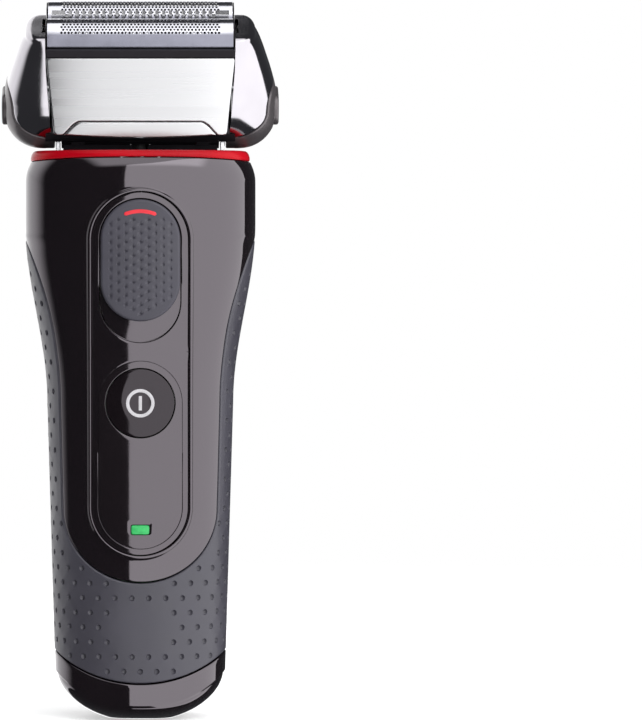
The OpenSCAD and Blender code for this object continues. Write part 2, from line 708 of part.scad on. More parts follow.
led_w = 2.4;
led_h = 1.6;
led_front_y = front_y(window_z) + panel_t + 0.5;
module charge_led() color([0.3, 0.9, 0.5]) translate([-led_w / 2, led_front_y, window_z - led_h / 2])
    cube([led_w, board_front_y - led_front_y, led_h]);

chip_z = 50;                            // lower edge of the chip and the coil
chip_w = 7;
chip_t = 1.2;
coil_w = 3;
coil_t = 1.4;
small_w = 2;                            // small parts in a row above the chip
small_t = 1;
module board_parts() color([0.2, 0.2, 0.22]) {
    translate([-chip_w + 1, board_front_y - chip_t, chip_z]) cube([chip_w, chip_t, chip_w]);
    for (i = [0:3]) translate([-chip_w + 2 * small_w * i, board_front_y - small_t, chip_z + chip_w + coil_w])
        cube([small_w, small_t, chip_t]);
    translate([1 + coil_w, board_front_y - coil_t, chip_z]) cube([coil_w, coil_t, 2 * coil_w]);
}

socket_t = 1.4;                         // wall of the power socket
socket_round = 2.2;
socket_lip = 0.3;                       // how far the socket's mouth lies above the foot
socket_floor_z = socket_h + socket_lip; // inner end of the socket
socket_end_z = socket_h + socket_t + 1 + socket_lip;
module socket_housing() color([0.1, 0.1, 0.1]) difference() {
    translate([0, 0, socket_lip]) linear_extrude(socket_end_z - socket_lip)
        rounded_rect(socket_w + 2 * socket_t, socket_d + 2 * socket_t, socket_round);
    translate([0, 0, -1]) linear_extrude(socket_floor_z + 1)
        rounded_rect(socket_w, socket_d, socket_round - 0.6);
    for (x = socket_xs) translate([x, 0, 0]) cylinder(r = pin_root_r, h = far, $fn = 32);
}
socket_xs = [-2.4, 2.4];
free_pin_l = 4.5;                       // length of a socket pin in front of the socket's inner end
pin_root_r = socket_pin_r + 0.35;       // radius of a pin's root in the socket's end wall
module socket_pins() color([0.8, 0.75, 0.5]) for (x = socket_xs) translate([x, 0, socket_floor_z]) {
    translate([0, 0, -free_pin_l]) cylinder(r = socket_pin_r, h = free_pin_l, $fn = 32);
    cylinder(r = pin_root_r, h = socket_end_z + 1 - socket_floor_z, $fn = 32);
}

module station_contacts() color([0.8, 0.72, 0.5]) for (x = contact_xs) {
    translate([x, back_y(contact_z) - pad_l - pad_sink, contact_z]) rotate([-90, 0, 0])
        cylinder(r = contact_r, h = pad_l, $fn = 32);
}

pad_l = 3;                              // length of a contact pad or a screw's head
pad_sink = 0.4;                         // how far a contact pad lies below the skin
screw_sink = 0.6;
drive_r = 1;                            // radius of a screw's six-sided recess
module case_screws() color([0.6, 0.6, 0.62])
    for (z = screw_zs) translate([0, back_y(z) - pad_l - screw_sink, z]) rotate([-90, 0, 0]) difference() {
        cylinder(r = screw_r, h = pad_l, $fn = 32);
        translate([0, 0, 2 * pad_l / 3]) cylinder(r = drive_r, h = pad_l, $fn = 6);
    }

/* ---- hair trimmer ---- */
comb_y = trim_in_y + 1.1;               // inner face of the fixed comb
comb_t = 0.8;
comb_top_z = trim_high_z + 8;
blade_back = 0.3;                       // gap between blade and comb
pocket_wall = 0.6;                      // walls of the slide beside that pocket
trim_teeth = 12;
tooth_pitch = 1.5;
tooth_w = 0.7;                          // width of a slot between two teeth
tooth_h = 2.4;                          // depth of those slots
blade_low_z = trim_high_z - 4.7;
slide_pocket_h = 5;                     // depth of the pocket that holds comb and blade
slide_proud = 0.2;                      // how far the slide stands proud of the rear shell
module trimmer_slide() color([0.09, 0.08, 0.09]) one_mesh() difference() {
    intersection() {
        form(-slide_proud);
        translate([-trim_half_w, trim_in_y, trim_low_z])
            cube([2 * trim_half_w, far, trim_high_z - trim_low_z]);
    }
    translate([-trim_half_w + pocket_wall, trim_in_y - 1, trim_high_z - slide_pocket_h])
        cube([2 * (trim_half_w - pocket_wall), comb_y + comb_t - trim_in_y + 1 + seat_gap, far]);
}

module toothed_plate(half_w, y, t, low, high, teeth) difference() {
    translate([-half_w, y, low]) cube([2 * half_w, t, high - low]);
    for (i = [0:teeth - 1])
        translate([(i - (teeth - 1) / 2) * tooth_pitch - tooth_w / 2, y - t, high - tooth_h])
            cube([tooth_w, 3 * t, 2 * tooth_h]);
}
module trimmer_comb() color([0.75, 0.75, 0.77])
    toothed_plate(trim_half_w - pocket_wall - 0.2, comb_y, comb_t, blade_low_z - 0.1, comb_top_z, trim_teeth);
module trimmer_blade() color([0.65, 0.65, 0.68])
    toothed_plate(trim_half_w - pocket_wall - 0.3 - stroke, trim_in_y + 0.1,
                  comb_y - trim_in_y - 0.1 - blade_back, blade_low_z, comb_top_z - 0.4, trim_teeth - 1);

/* ---- head ---- */
// Places a body that is drawn round the swing axis, with the head upright.
module in_head() translate([0, 0, pivot_z]) rotate([head_tilt, 0, 0]) children();
// Pushes an outline drawn in Y and Z along X.
module along_x(from, to) translate([from, 0, 0]) rotate([90, 0, 90]) linear_extrude(to - from) children();
// Pushes an outline drawn in X and Z along Y.
module along_y(from, to) translate([0, to, 0]) rotate([90, 0, 0]) linear_extrude(to - from) children();

seat_z = -5.05;                         // lower edge of the cassette above the swing axis
cassette_low_d = 12.6;                  // half depth of the cassette at its lower edge
cassette_high_d = 11.4;                 // half depth at the plates' top
plate_top = 12.85;                      // top of the plates above the swing axis
frame_top = 14.7;                       // top of the cassette frame's rim
cradle_top = seat_z - 0.3;
cradle_t = 1.5;                         // wall of the cradle
sweep_gap = 0.6;

// Half-plane sector of the bracket's path, seen from the side in the head's own frame.
module bracket_path() hull() for (a = [tilt_min:8:tilt_max]) rotate(-a)
    translate([-bracket_w / 2 - sweep_gap, -2 * cradle_r]) square([bracket_w + 2 * sweep_gap, 2 * cradle_r]);
module shaft_path() hull() for (a = [tilt_min, tilt_max]) rotate(-a)
    translate([-shaft_slot_w, -2 * cradle_r]) square([2 * shaft_slot_w, 2 * cradle_r]);

module cradle_section() intersection() {
    circle(r = cradle_r, $fn = 96);
    translate([-far, -far]) square([2 * far, far + cradle_top]);
}

rod_d_y = 7.4;                          // guide rods' distance from the middle
rod_d_z = -3.2;                         // guide rods' height
guide_r = 1;
rod_half_l = 14.6;
drum_end_t = 1.2;                       // end walls of the cradle's drum
rod_post_t = 3;                         // posts that carry the rods
rod_post_half_w = 1.6;
rod_post_low = -9.2;                    // where those posts start, inside the drum's wall
module head_cradle() color([0.13, 0.12, 0.13]) in_head() difference() {
    union() {
        difference() {
            along_x(-drum_half_l, drum_half_l) cradle_section();
            along_x(-drum_half_l + drum_end_t, drum_half_l - drum_end_t) difference() {
                circle(r = cradle_r - cradle_t, $fn = 96);
                translate([-far, cradle_top]) square([2 * far, far]);
            }
            along_x(-shaft_slot_w, shaft_slot_w) shaft_path();
        }
        for (side = [-1, 1]) mirror([side < 0 ? 1 : 0, 0, 0])
            along_x(drum_half_l - 0.01, arm_in_x - control_gap) difference() {
                cradle_section();
                bracket_path();
            }
        for (side = [0, 1], y = [-rod_d_y, rod_d_y]) mirror([side, 0, 0])
            translate([rod_half_l - 2, y - rod_post_half_w, rod_post_low])
                cube([rod_post_t, 2 * rod_post_half_w, rod_d_z + rod_post_half_w - rod_post_low]);
    }
    for (y = [-rod_d_y, rod_d_y]) translate([-rod_half_l, y, rod_d_z]) rotate([0, 90, 0])
        cylinder(r = guide_r, h = 2 * rod_half_l, $fn = 32);
}
shaft_slot_w = shaft_r + 0.7;

module guide_rods() color([0.75, 0.75, 0.77]) in_head() for (y = [-rod_d_y, rod_d_y])
    translate([-rod_half_l, y, rod_d_z]) rotate([0, 90, 0])
        cylinder(r = guide_r, h = 2 * rod_half_l, $fn = 32);

arm_top_d = 8.5;                        // half depth of an arm at its top
arm_low_d = cradle_r;                   // half depth of an arm at the axis
function arc(cx, cy, r, a0, a1, n) = [for (i = [0:n])
    let (a = mix(a0, a1, i / n)) [cx + r * cos(a), cy + r * sin(a)]];

// Front outline of the right arm and its guard, from the inner edge at the bottom round to the top.
arm_w = arm_out_x - arm_in_x;           // width of an arm at its widest
arm_mid_z = -2.4;                       // height where it is widest
arm_round = arm_mid_z + cradle_r;       // height of its round lower corner
top_lean = 0.5;                         // how far its inner face leans out above the lips
// Points of its upper flank: share of the arm's width, and distance below the arm's top.
arm_flank = [[0.85, 10.7], [0.63, 4.4], [0.55, 2.7], [0.47, 1.3], [0.4, 0.5], [0.33, 0]];
module arm_outline() polygon(concat(
    [[arm_in_x, -cradle_r]],
    [for (a = [-75:9.375:0]) [arm_in_x + arm_w * cos(a), arm_mid_z + arm_round * sin(a)]],
    [for (p = arm_flank) [arm_in_x + p[0] * arm_w, arm_top - p[1]]], 
    [[arm_in_x + top_lean, arm_top], [arm_in_x, lip_top]]));

// Part of that outline that belongs to the chrome arm, inside the dark guard.
// Points of the line between them: share of the arm's width, and height above the swing axis.
guard_line = [[0, -6.5], [0.31, -5.5], [0.57, -3.9], [0.74, -2], [0.76, 1.8], [0.93, 4.8], [2, 4.8]];
module arm_inside() polygon(concat(
    [[0, far], [0, guard_line[0][1]]], [for (p = guard_line) [arm_in_x + p[0] * arm_w, p[1]]],
    [[arm_in_x + 2 * arm_w, far]]));

// Side outline of an arm.
side_shoulder_z = 1.5;                  // height where the sides start to lean in
module arm_side(inset = 0) offset(delta = -inset) polygon(concat(
    arc(0, 0, arm_low_d, -180, 0, 24),
    [[arm_low_d, side_shoulder_z], [arm_top_d + 0.9, arm_top - 2.4], [arm_top_d, arm_top - 0.8],
     [arm_top_d - 1, arm_top], [-arm_top_d + 1, arm_top], [-arm_top_d, arm_top - 0.8],
     [-arm_top_d - 0.9, arm_top - 2.4], [-arm_low_d, side_shoulder_z]]));

lip_t = 1.4;                            // thickness of an arm's front and rear lips
lip_top = arm_top - 3;                  // top of those lips
function slant_x(z) = mix(arm_in_x - 1.5, arm_in_x + 0.1, (z - seat_z) / (arm_top - seat_z));
module side_arm(side) color([0.55, 0.54, 0.57]) in_head() mirror([side < 0 ? 1 : 0, 0, 0]) difference() {
    union() {
        intersection() {
            along_y(-far, far) intersection() {
                arm_outline();
                arm_inside();
            }
            along_x(0, far) arm_side();
        }
        intersection() {
            along_y(-far, far) polygon([[slant_x(seat_z), seat_z], [slant_x(lip_top), lip_top],
                                        [arm_in_x + 0.1, lip_top], [arm_in_x + 0.1, seat_z]]);
            along_x(0, far) difference() {
                arm_side();
                arm_side(lip_t);
                translate([-far, -far]) square([2 * far, far + seat_z]);
            }
        }
    }
    translate([arm_in_x - 1, 0, 0]) rotate([0, 90, 0])
        cylinder(r = pin_r + run_gap, h = 1 + pin_reach + 2 * control_gap, $fn = 48);
    translate([arm_out_x + release_proud - release_t - release_stroke - seam_gap, 0, button_mid_z])
        rotate([0, 90, 0]) linear_extrude(far)
        rounded_rect(2 * button_half_h + 1, 2 * button_half_d + 1, button_round);
}
module side_arm_left() side_arm(-1);
module side_arm_right() side_arm(1);

button_mid_z = arm_mid_z;               // height of a release button
button_half_h = 3.6;
button_half_d = 5.4;
button_round = 3;
button_edge = 0.5;                      // size of the step round a release button's face
module side_guard(side) color([0.3, 0.28, 0.3]) in_head() mirror([side < 0 ? 1 : 0, 0, 0]) difference() {
    intersection() {
        along_y(-far, far) difference() {
            arm_outline();
            offset(delta = seat_gap) arm_inside();
        }
        along_x(arm_in_x + 0.01, far) arm_side();
    }
    translate([arm_in_x, 0, button_mid_z]) rotate([0, 90, 0]) linear_extrude(far)
        rounded_rect(2 * (button_half_h + control_gap), 2 * (button_half_d + control_gap),
                     button_round + control_gap);
}
module side_guard_left() side_guard(-1);
module side_guard_right() side_guard(1);

release_t = 2.6;                        // thickness of a release button
module release_button(side) color([0.34, 0.32, 0.35]) in_head() mirror([side < 0 ? 1 : 0, 0, 0])
    translate([arm_out_x + release_proud - release_t, 0, button_mid_z]) rotate([0, 90, 0]) {
        linear_extrude(release_t - button_edge)
            rounded_rect(2 * button_half_h, 2 * button_half_d, button_round);
        translate([0, 0, release_t - button_edge]) linear_extrude(button_edge)
            rounded_rect(2 * (button_half_h - button_edge), 2 * (button_half_d - button_edge),
                         button_round - button_edge);
    }
module release_button_left() release_button(-1);
module release_button_right() release_button(1);

/* ---- drive ---- */
bridge_half_l = 11;
bridge_t = 2;
fork_half_x = drive_pin_r + 2 * stroke + 0.3;
fork_half_y = 4;
fork_back_y = 3.4;                      // rear edge of the fork's slot
bridge_half_d = rod_d_y + guide_r;      // half depth of the bridge
hanger_t = 3;                           // hangers that run on the rods
hanger_half_w = 1.8;
hanger_xs = [-9, 9 - hanger_t];
post_r = 1.5;
centre_post_r = 0.9;                    // post of the centre trimmer
centre_post_y = 4.4;
centre_post_l = 8;
post_top = foil_z - foil_r + 0.6 - foil_float;
module drive_bridge() color([0.9, 0.9, 0.88]) in_head() difference() {
    union() {
        translate([-bridge_half_l, -bridge_half_d, -bridge_t / 2])
            cube([2 * bridge_half_l, 2 * bridge_half_d, bridge_t]);
        for (x = hanger_xs, y = [-rod_d_y, rod_d_y])
            translate([x, y - hanger_half_w, rod_d_z - hanger_half_w])
            cube([hanger_t, 2 * hanger_half_w, hanger_half_w - rod_d_z]);
        for (y = [-foil_y, foil_y]) translate([0, y, 0]) cylinder(r = post_r, h = post_top, $fn = 32);
        translate([0, centre_post_y, 0]) cylinder(r = centre_post_r, h = centre_post_l, $fn = 32);
    }
    translate([-fork_half_x, -fork_half_y, -far]) cube([2 * fork_half_x, fork_half_y + fork_back_y, 2 * far]);
    for (y = [-rod_d_y, rod_d_y]) translate([-2 * bridge_half_l, y, rod_d_z]) rotate([0, 90, 0])
        cylinder(r = guide_r + run_gap, h = 4 * bridge_half_l, $fn = 32);
}

/* ---- cassette ---- */
module cassette_side(inset = 0) polygon([
    [-cassette_low_d + inset, seat_z], [cassette_low_d - inset, seat_z],
    [cassette_high_d - inset, plate_top], [cassette_high_d - inset, frame_top],
    [-cassette_high_d + inset, frame_top], [-cassette_high_d + inset, plate_top]]);

cavity_half_l = 17.2;                   // half length of the cassette's inner hollow
cavity_half_d = cassette_high_d - 1.1;
end_wall_top = 10.6;
cassette_low_x = arm_in_x - 1.7;        // half length of the frame at its lower edge
cassette_mid_x = arm_in_x - 1;          // and where it widens
cassette_high_x = arm_in_x - 0.5;       // and at its top
widen_low_z = 4.8;
widen_high_z = 7;
module cassette_frame() color([0.07, 0.07, 0.08]) in_head() difference() {
    intersection() {
        along_y(-far, far) polygon([
            [-cassette_low_x, seat_z], [cassette_low_x, seat_z], [cassette_low_x + 0.1, widen_low_z],
            [cassette_mid_x, widen_high_z], [cassette_high_x, frame_top], [-cassette_high_x, frame_top],
            [-cassette_mid_x, widen_high_z], [-cassette_low_x - 0.1, widen_low_z]]);
        along_x(-far, far) {
            cassette_side(plate_t + seat_gap);
            translate([-cassette_high_d, plate_top + seat_gap])
                square([2 * cassette_high_d, frame_top - plate_top - seat_gap]);
        }
    }
    translate([-cavity_half_l, -cavity_half_d, -far]) cube([2 * cavity_half_l, 2 * cavity_half_d, 2 * far]);
    translate([-far, -cavity_half_d, end_wall_top]) cube([2 * far, 2 * cavity_half_d, far]);
}

function plate_x(z) = mix(cassette_low_x - 0.4, cassette_high_x, (z - seat_z) / (plate_top - seat_z));
tongue_top = -2;                        // top of the window at the plate's lower edge
tongue_low_x = cassette_low_x - 2.7;    // half width of that window at the edge
tongue_high_x = tongue_low_x - 3.3;     // and at its top
tongue_bevel = 1.2;
tongue_r = 200;                         // radius of the latch cover's lower edge
tongue_rise = 0.8;                      // how far that edge lies below the plate's at the middle
module tongue(grow = 0) offset(delta = grow) polygon([
    [-tongue_low_x, 2 * seat_z], [tongue_low_x, 2 * seat_z], [tongue_low_x, seat_z],
    [tongue_high_x + tongue_bevel, tongue_top - 0.8], [tongue_high_x, tongue_top],
    [-tongue_high_x, tongue_top], [-tongue_high_x - tongue_bevel, tongue_top - 0.8],
    [-tongue_low_x, seat_z]]);
module cover_plate(side) intersection() {
    along_y(-far, far) difference() {
        polygon([[-plate_x(seat_z), seat_z], [plate_x(seat_z), seat_z], [plate_x(plate_top), plate_top],
                 [-plate_x(plate_top), plate_top]]);
        if (side < 0) tongue(seat_gap);
    }
    along_x(-far, far) difference() {
        cassette_side();
        cassette_side(plate_t);
        translate([side < 0 ? 0 : -far, -far]) square([far, 3 * far]);
    }
}
module front_plate() color([0.86, 0.86, 0.87]) in_head() cover_plate(-1);
module rear_plate() color([0.86, 0.86, 0.87]) in_head() cover_plate(1);

module latch_cover() color([0.8, 0.8, 0.81]) in_head() intersection() {
    along_y(-far, 0) intersection() {
        tongue();
        translate([0, seat_z - tongue_rise + tongue_r]) circle(r = tongue_r, $fn = 400);
    }
    along_x(-far, far) polygon([
        [-cassette_low_d + seat_gap, seat_z - 1], [-cassette_low_d + plate_t, seat_z - 1],
        [-cassette_high_d + plate_t, plate_top], [-cassette_high_d + seat_gap, plate_top]]);
}

skirt_low = 12.4;                       // lower edge of a foil's skirt
module foil_section(r) {
    difference() {
        circle(r = r, $fn = 96);
        translate([-far, -2 * far]) square(2 * far);
    }
    translate([-r, skirt_low - foil_z]) square([2 * r, foil_z - skirt_low]);
}
module foil(y) in_head() translate([0, y, foil_z]) along_x(-foil_half_l, foil_half_l) difference() {
    foil_section(foil_r);
    translate([0, -0.01]) foil_section(foil_r - foil_t);
}
module front_foil() color([0.72, 0.72, 0.76]) foil(-foil_y);
module rear_foil() color([0.72, 0.72, 0.76]) foil(foil_y);

carrier_t = 0.8;
carrier_low = end_wall_top + foil_float + seat_gap;
carrier_half_d = foil_r - foil_t - 0.1; // half depth of a foil's carrier, inside the foil
plug_t = 1.6;                           // plug in each end of a foil
hook_t = 0.3;                           // hook outside each end of a foil
hook_gap = 0.1;
hook_half_w = 2.2;
hook_top = foil_z + foil_r - 0.8;
rail_h = 1.1;                           // height of the carrier's two rails
module foil_carrier(y) in_head() translate([0, y, 0]) {
    for (side = [0, 1]) mirror([side, 0, 0]) {
        translate([foil_half_l - plug_t, -carrier_half_d, skirt_low])
            cube([plug_t, 2 * carrier_half_d, foil_z - skirt_low + 0.2]);
        translate([foil_half_l + hook_gap, -hook_half_w, carrier_low])
            cube([hook_t, 2 * hook_half_w, hook_top - carrier_low]);
        translate([foil_half_l - plug_t, -carrier_half_d, carrier_low])
            cube([plug_t + hook_gap + hook_t, 2 * carrier_half_d, skirt_low - carrier_low + 0.01]);
    }
    for (rail_y = [-carrier_half_d, carrier_half_d - carrier_t])
        translate([-foil_half_l, rail_y, carrier_low]) cube([2 * foil_half_l, carrier_t, rail_h]);
}
module front_foil_carrier() color([0.2, 0.2, 0.22]) foil_carrier(-foil_y);
module rear_foil_carrier() color([0.2, 0.2, 0.22]) foil_carrier(foil_y);

blade_gap = 0.15;                       // gap between blades and foil
blade_r = foil_r - foil_t - blade_gap;
blade_low = foil_z - 1.4;
blade_stem_half_w = 1.4;                // half width of a blade's stem
blade_hole_r = 1.2;
blade_hole_z = 0.4;                     // height of that hole above the blade's centre
blade_count = floor(2 * (cutter_half_l - 0.5) / blade_pitch) + 1;
module blades(y) in_head() translate([0, y, foil_z]) for (i = [0:blade_count - 1])
    translate([(i - (blade_count - 1) / 2) * blade_pitch - blade_t / 2, 0, 0]) rotate([90, 0, 90])
        linear_extrude(blade_t) difference() {
            union() {
                difference() {
                    circle(r = blade_r, $fn = 48);
                    translate([-far, -2 * far]) square(2 * far);
                }
                translate([-blade_stem_half_w, blade_low - foil_z])
                    square([2 * blade_stem_half_w, foil_z - blade_low + 0.01]);
            }
            translate([0, blade_hole_z]) circle(r = blade_hole_r, $fn = 32);
        }
module front_blades() color([0.7, 0.7, 0.73]) blades(-foil_y);
module rear_blades() color([0.7, 0.7, 0.73]) blades(foil_y);

block_half_d = 2.4;                     // half depth of a cutter block's carrier
block_low = carrier_low + 0.2;
module blade_carrier(y) in_head() difference() {
    translate([-cutter_half_l, y - block_half_d, block_low])
        cube([2 * cutter_half_l, 2 * block_half_d, blade_low - block_low - 0.1]);
    translate([0, y, block_low - 1])
        cylinder(r = post_r + control_gap, h = post_top - block_low + foil_float + 1.3, $fn = 32);
}
module front_blade_carrier() color([0.3, 0.32, 0.35]) blade_carrier(-foil_y);
module rear_blade_carrier() color([0.3, 0.32, 0.35]) blade_carrier(foil_y);

comb_half_w = 1.6;                      // half depth of the centre trimmer
comb_wall = 0.4;
comb_high = foil_z + foil_r - 0.4;
comb_low = carrier_low;
comb_half_l = foil_half_l - 0.8;        // half length of the centre trimmer
comb_end_t = 1.2;                       // its end walls
comb_slots = 11;                        // slots on each side of the middle one
slot_h = 2;                             // depth of those slots
blade_half_l = comb_half_l - comb_end_t - stroke - 0.3;
blade_half_d = comb_half_w - comb_wall - control_gap;
// Slots across the centre trimmer, cut down to height z.
module comb_slots(count, z) for (i = [-count:count])
    translate([i * tooth_pitch - tooth_w / 2, -2 * comb_half_w, z])
        cube([tooth_w, 4 * comb_half_w, 2 * slot_h]);
module centre_comb() color([0.6, 0.6, 0.63]) in_head() difference() {
    translate([-comb_half_l, -comb_half_w, comb_low])
        cube([2 * comb_half_l, 2 * comb_half_w, comb_high - comb_low]);
    translate([-comb_half_l + comb_end_t, -comb_half_w + comb_wall, comb_low - 1])
        cube([2 * (comb_half_l - comb_end_t), 2 * (comb_half_w - comb_wall),
              comb_high - comb_low + 1 - comb_wall]);
    comb_slots(comb_slots, comb_high - slot_h);
}
module centre_blade() color([0.55, 0.55, 0.58]) in_head() difference() {
    translate([-blade_half_l, -blade_half_d, comb_low + 1])
        cube([2 * blade_half_l, 2 * blade_half_d, comb_high - comb_low - comb_wall - 0.3 - 1]);
    comb_slots(comb_slots - 1, comb_high - slot_h - comb_wall);
}

front_shell();
rear_shell();
grip_sleeve();
base_cap();
control_panel();
display_panel();
charge_window();
collar_ring();
neck_plate();
shaft_seal();
pivot_bracket_left();
pivot_bracket_right();
pivot_pins();
inner_frame();
motor();
motor_terminals();
battery();
battery_tabs();
circuit_board();
power_switch();
charge_led();
board_parts();
socket_housing();
socket_pins();
station_contacts();
case_screws();
lock_slider();
lock_mark();
lock_rod();
power_button();
power_symbol();
motor_shaft();
trimmer_slide();
trimmer_comb();
trimmer_blade();
head_cradle();
side_arm_left();
side_arm_right();
side_guard_left();
side_guard_right();
guide_rods();
drive_bridge();
release_button_left();
release_button_right();
cassette_frame();
front_plate();
rear_plate();
latch_cover();
front_foil();
front_foil_carrier();
rear_foil();
rear_foil_carrier();
front_blades();
front_blade_carrier();
rear_blades();
rear_blade_carrier();
centre_comb();
centre_blade();
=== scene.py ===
import json
import math

import bmesh
import bpy
import numpy as np
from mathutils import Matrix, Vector


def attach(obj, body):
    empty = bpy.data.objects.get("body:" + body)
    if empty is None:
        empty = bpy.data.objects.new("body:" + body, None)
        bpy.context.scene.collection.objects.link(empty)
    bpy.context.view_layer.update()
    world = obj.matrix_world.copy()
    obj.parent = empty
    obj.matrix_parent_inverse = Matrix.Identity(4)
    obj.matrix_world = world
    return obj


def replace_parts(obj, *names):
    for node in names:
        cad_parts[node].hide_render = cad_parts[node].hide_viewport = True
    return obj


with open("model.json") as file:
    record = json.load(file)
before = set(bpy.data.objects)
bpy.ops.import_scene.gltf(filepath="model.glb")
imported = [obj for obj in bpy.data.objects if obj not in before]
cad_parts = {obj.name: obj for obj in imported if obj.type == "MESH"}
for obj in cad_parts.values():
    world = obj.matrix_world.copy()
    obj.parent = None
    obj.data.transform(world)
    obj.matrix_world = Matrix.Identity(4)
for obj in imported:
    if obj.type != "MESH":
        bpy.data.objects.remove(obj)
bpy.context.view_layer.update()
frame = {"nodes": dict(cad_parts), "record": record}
NODES = frame["nodes"]
SLOTS = {part["node"]: part["material_slot"] for part in frame["record"]["subparts"]}
BODIES = {node: body for body, nodes in frame["record"]["behaviour"]["bodies"].items() for node in nodes}

MM = 0.001
QUARTER_TURN = math.pi / 2
SIDES = ((-1, "left"), (1, "right"))

# ---- driving dimensions of the handle, in millimetres ----
WIDTHS = (19.3, 21.1, 26.1)  # half widths at the base, waist and shoulder
FRONTS = (14.2, 16.0, 16.9)  # depths in front of the middle plane
BACKS = (14.0, 16.0, 17.4)  # depths behind it
WAIST_Z, FLARE_Z, SHOULDER_Z, TOP_Z = 72.0, 112.0, 122.0, 126.6
SECTION_POWER = 2.5
EDGE_FRONT_Z, EDGE_SIDE_Z = 3.6, 11.0  # height of the base edge
EDGE_STEP, DOME_POWER, FOOT_U = 0.5, 1.82, 0.89
SOCKET_W, SOCKET_D, SOCKET_H, SOCKET_POWER = 6.5, 4.8, 6.0, 0.45
ARCH_DROP, SHOULDER_BEVEL = 0.8, 1.2
SEAM_GAP, SIDE_SEAM, GRIP_T, SHELL_T = 0.3, 0.12, 1.4, 1.7
CAP_SEAM_Z, CAP_SEAM_R = 8.4, 31.0
BIB_R, BIB_Z, REAR_BIB_Z = 16.3, 47.8, 78.0
TONGUE_TOP_Z, TONGUE_BEND = 108.5, 22.5
TONGUE_ANGLE = math.radians(54.6)

DIMPLES_ROUND, DIMPLE_ROW = 30, 3.3  # dimples in a row round the grip, and the rows' pitch
CELLS, ROW_CELLS = 6, 5  # cells of the lattice between two dimples
DIMPLE_MARGIN = 1.15  # room that a dimple or pit needs beside an edge
BARE_W, BARE_LOW, BARE_HIGH = 7.6, 17, 26  # plain field on the grip

PANEL_W, PANEL_LOW, PANEL_HIGH = 10.75, 37.5, 118.8
PANEL_INSET, PANEL_GAP = 0.15, 0.15
RIM_W, RIM_H = 1.0, 0.45
LOCK_W, LOCK_L = 8.9, 27.3
LOCK_TOP = PANEL_HIGH - 1.6
LOCK_LOW = LOCK_TOP - LOCK_L
LOCK_PROUD, RECESS_DEPTH = 0.6, 1.0
RECESS_W, RECESS_LOW, RECESS_HIGH = 9.2, LOCK_LOW - 4.8, LOCK_TOP + 0.2
DISPLAY_W, DISPLAY_LOW, DISPLAY_T = 9.4, PANEL_LOW + 1.4, 0.9
DISPLAY_SPLIT = 56.0  # height at which the display panel's two fields meet
BUTTON_R, BUTTON_Z = 7.7, 71.6
DISH_R, DISH_DEPTH = 60.0, 0.35
SYMBOL_R, SYMBOL_LINE = 3.2, 0.77
WINDOW_Z, WINDOW_W, WINDOW_H = 43.2, 4.2, 2.2
RING_LOW, RING_HIGH = 126.75, 128.3

CHANNEL_W, CHANNEL_LOW, CHANNEL_FLOOR, CHANNEL_T = 10.4, 84.8, 13.2, 1.2
SLIDE_W, SLIDE_LOW, SLIDE_HIGH = 10.0, 85.0, 115.5
RIDGES_LOW, RIDGES_HIGH = 88.2, 99.8

# ---- driving dimensions of the neck and the head, which is measured upright from its swing axis ----
PIVOT_Z, HEAD_TILT = 141.0, math.radians(22)
ARM_IN, ARM_W, ARM_TOP, ARM_MID_Z, ARM_R = 21.6, 9.4, 16.6, -2.4, 12.0
ARM_CROWN_Z, ARM_ROUND_Z = 15.3, 1.5  # where an arm's crown starts, and its round lower part ends
ARM_POWER, ARM_COLUMNS = 0.76, 44
SEAT_Z, PLATE_TOP = -5.05, 12.85
CASSETTE_LOW_D, CASSETTE_HIGH_D, PLATE_T = 12.6, 11.4, 0.6
PLATE_LOW_X, PLATE_HIGH_X = 19.5, 21.1
LATCH_T, LATCH_SINK, LATCH_R, LATCH_DROP = 0.45, 0.15, 200.0, 0.8
LIP_T, LIP_TOP, TOP_LEAN, GUARD_T = 1.4, 13.6, 0.5, 1.0
GUARD_LINE = ((0.0, -6.5), (0.31, -5.5), (0.57, -3.9), (0.74, -2.0), (0.76, 1.8), (0.93, 4.8), (1.6, 4.8))
BUTTON_H, BUTTON_D, BUTTON_ROUND, BUTTON_GAP, RELEASE_PROUD = 3.6, 5.4, 3.0, 0.2, 0.3
FOIL_Z = 16.2  # middle of the foils' arches above the swing axis
FOIL_Y, FOIL_R, FOIL_L, SKIRT_LOW, FOIL_T = 6.0, 4.0, 20.8, 12.4, 0.1
HOLE_PITCH, HOLE_SHARE = 0.8, 0.66
FOIL_HOLES_L, FOIL_HOLES_ARC = 18.0, 4.5
SWING_R, DRUM_R = 12.3, 12.0  # seat's hollow under the cradle, and the cradle's drum
SADDLE_W, SADDLE_D, SADDLE_FOOT_D = 17.4, 4.8, 6.6
NECK_TOP, SEAL_TOP, SEAL_ROOM = 126.4, 127.0, 4.5
BOOT_IN, BOOT_OUT, BOOT_TOP = 1.6, 2.1, 131.0
TOE_IN, TOE_OUT, TOE_LOW_R = 19.4, 21.5, 10.9

# ---- light and view, in metres ----
WORLD_LIGHT, KEY_LIGHT, RIM_LIGHT, TOP_LIGHT = 0.06, 2.5, 1.6, 1.9
FLOOR_GLOW = 0.45
PANEL_LIGHT_HIGH = 1.1  # upper end of the upright lights
CAMERA_DISTANCE, CAMERA_ANGLE, CAMERA_Z = 1.08, math.radians(1.0), 0.081


# ---- small maths ----
def clamp(f):
    return np.clip(f, 0, 1)


def mix(a, b, f):
    return a + (b - a) * f


def smooth(f):
    f = clamp(f)
    return f * f * (3 - 2 * f)


def signed_power(f, power):
    return np.sign(f) * np.abs(f) ** power


def full_turn(count):
    """Evenly spaced angles round a circle."""
    return np.arange(count) * 2 * math.pi / count


def beyond(dx, dz):
    """Distance past a round corner's centre, from how far a point lies past it along each axis."""
    return np.where((dx > 0) & (dz > 0), np.hypot(dx.clip(0), dz.clip(0)), np.maximum(dx, dz))


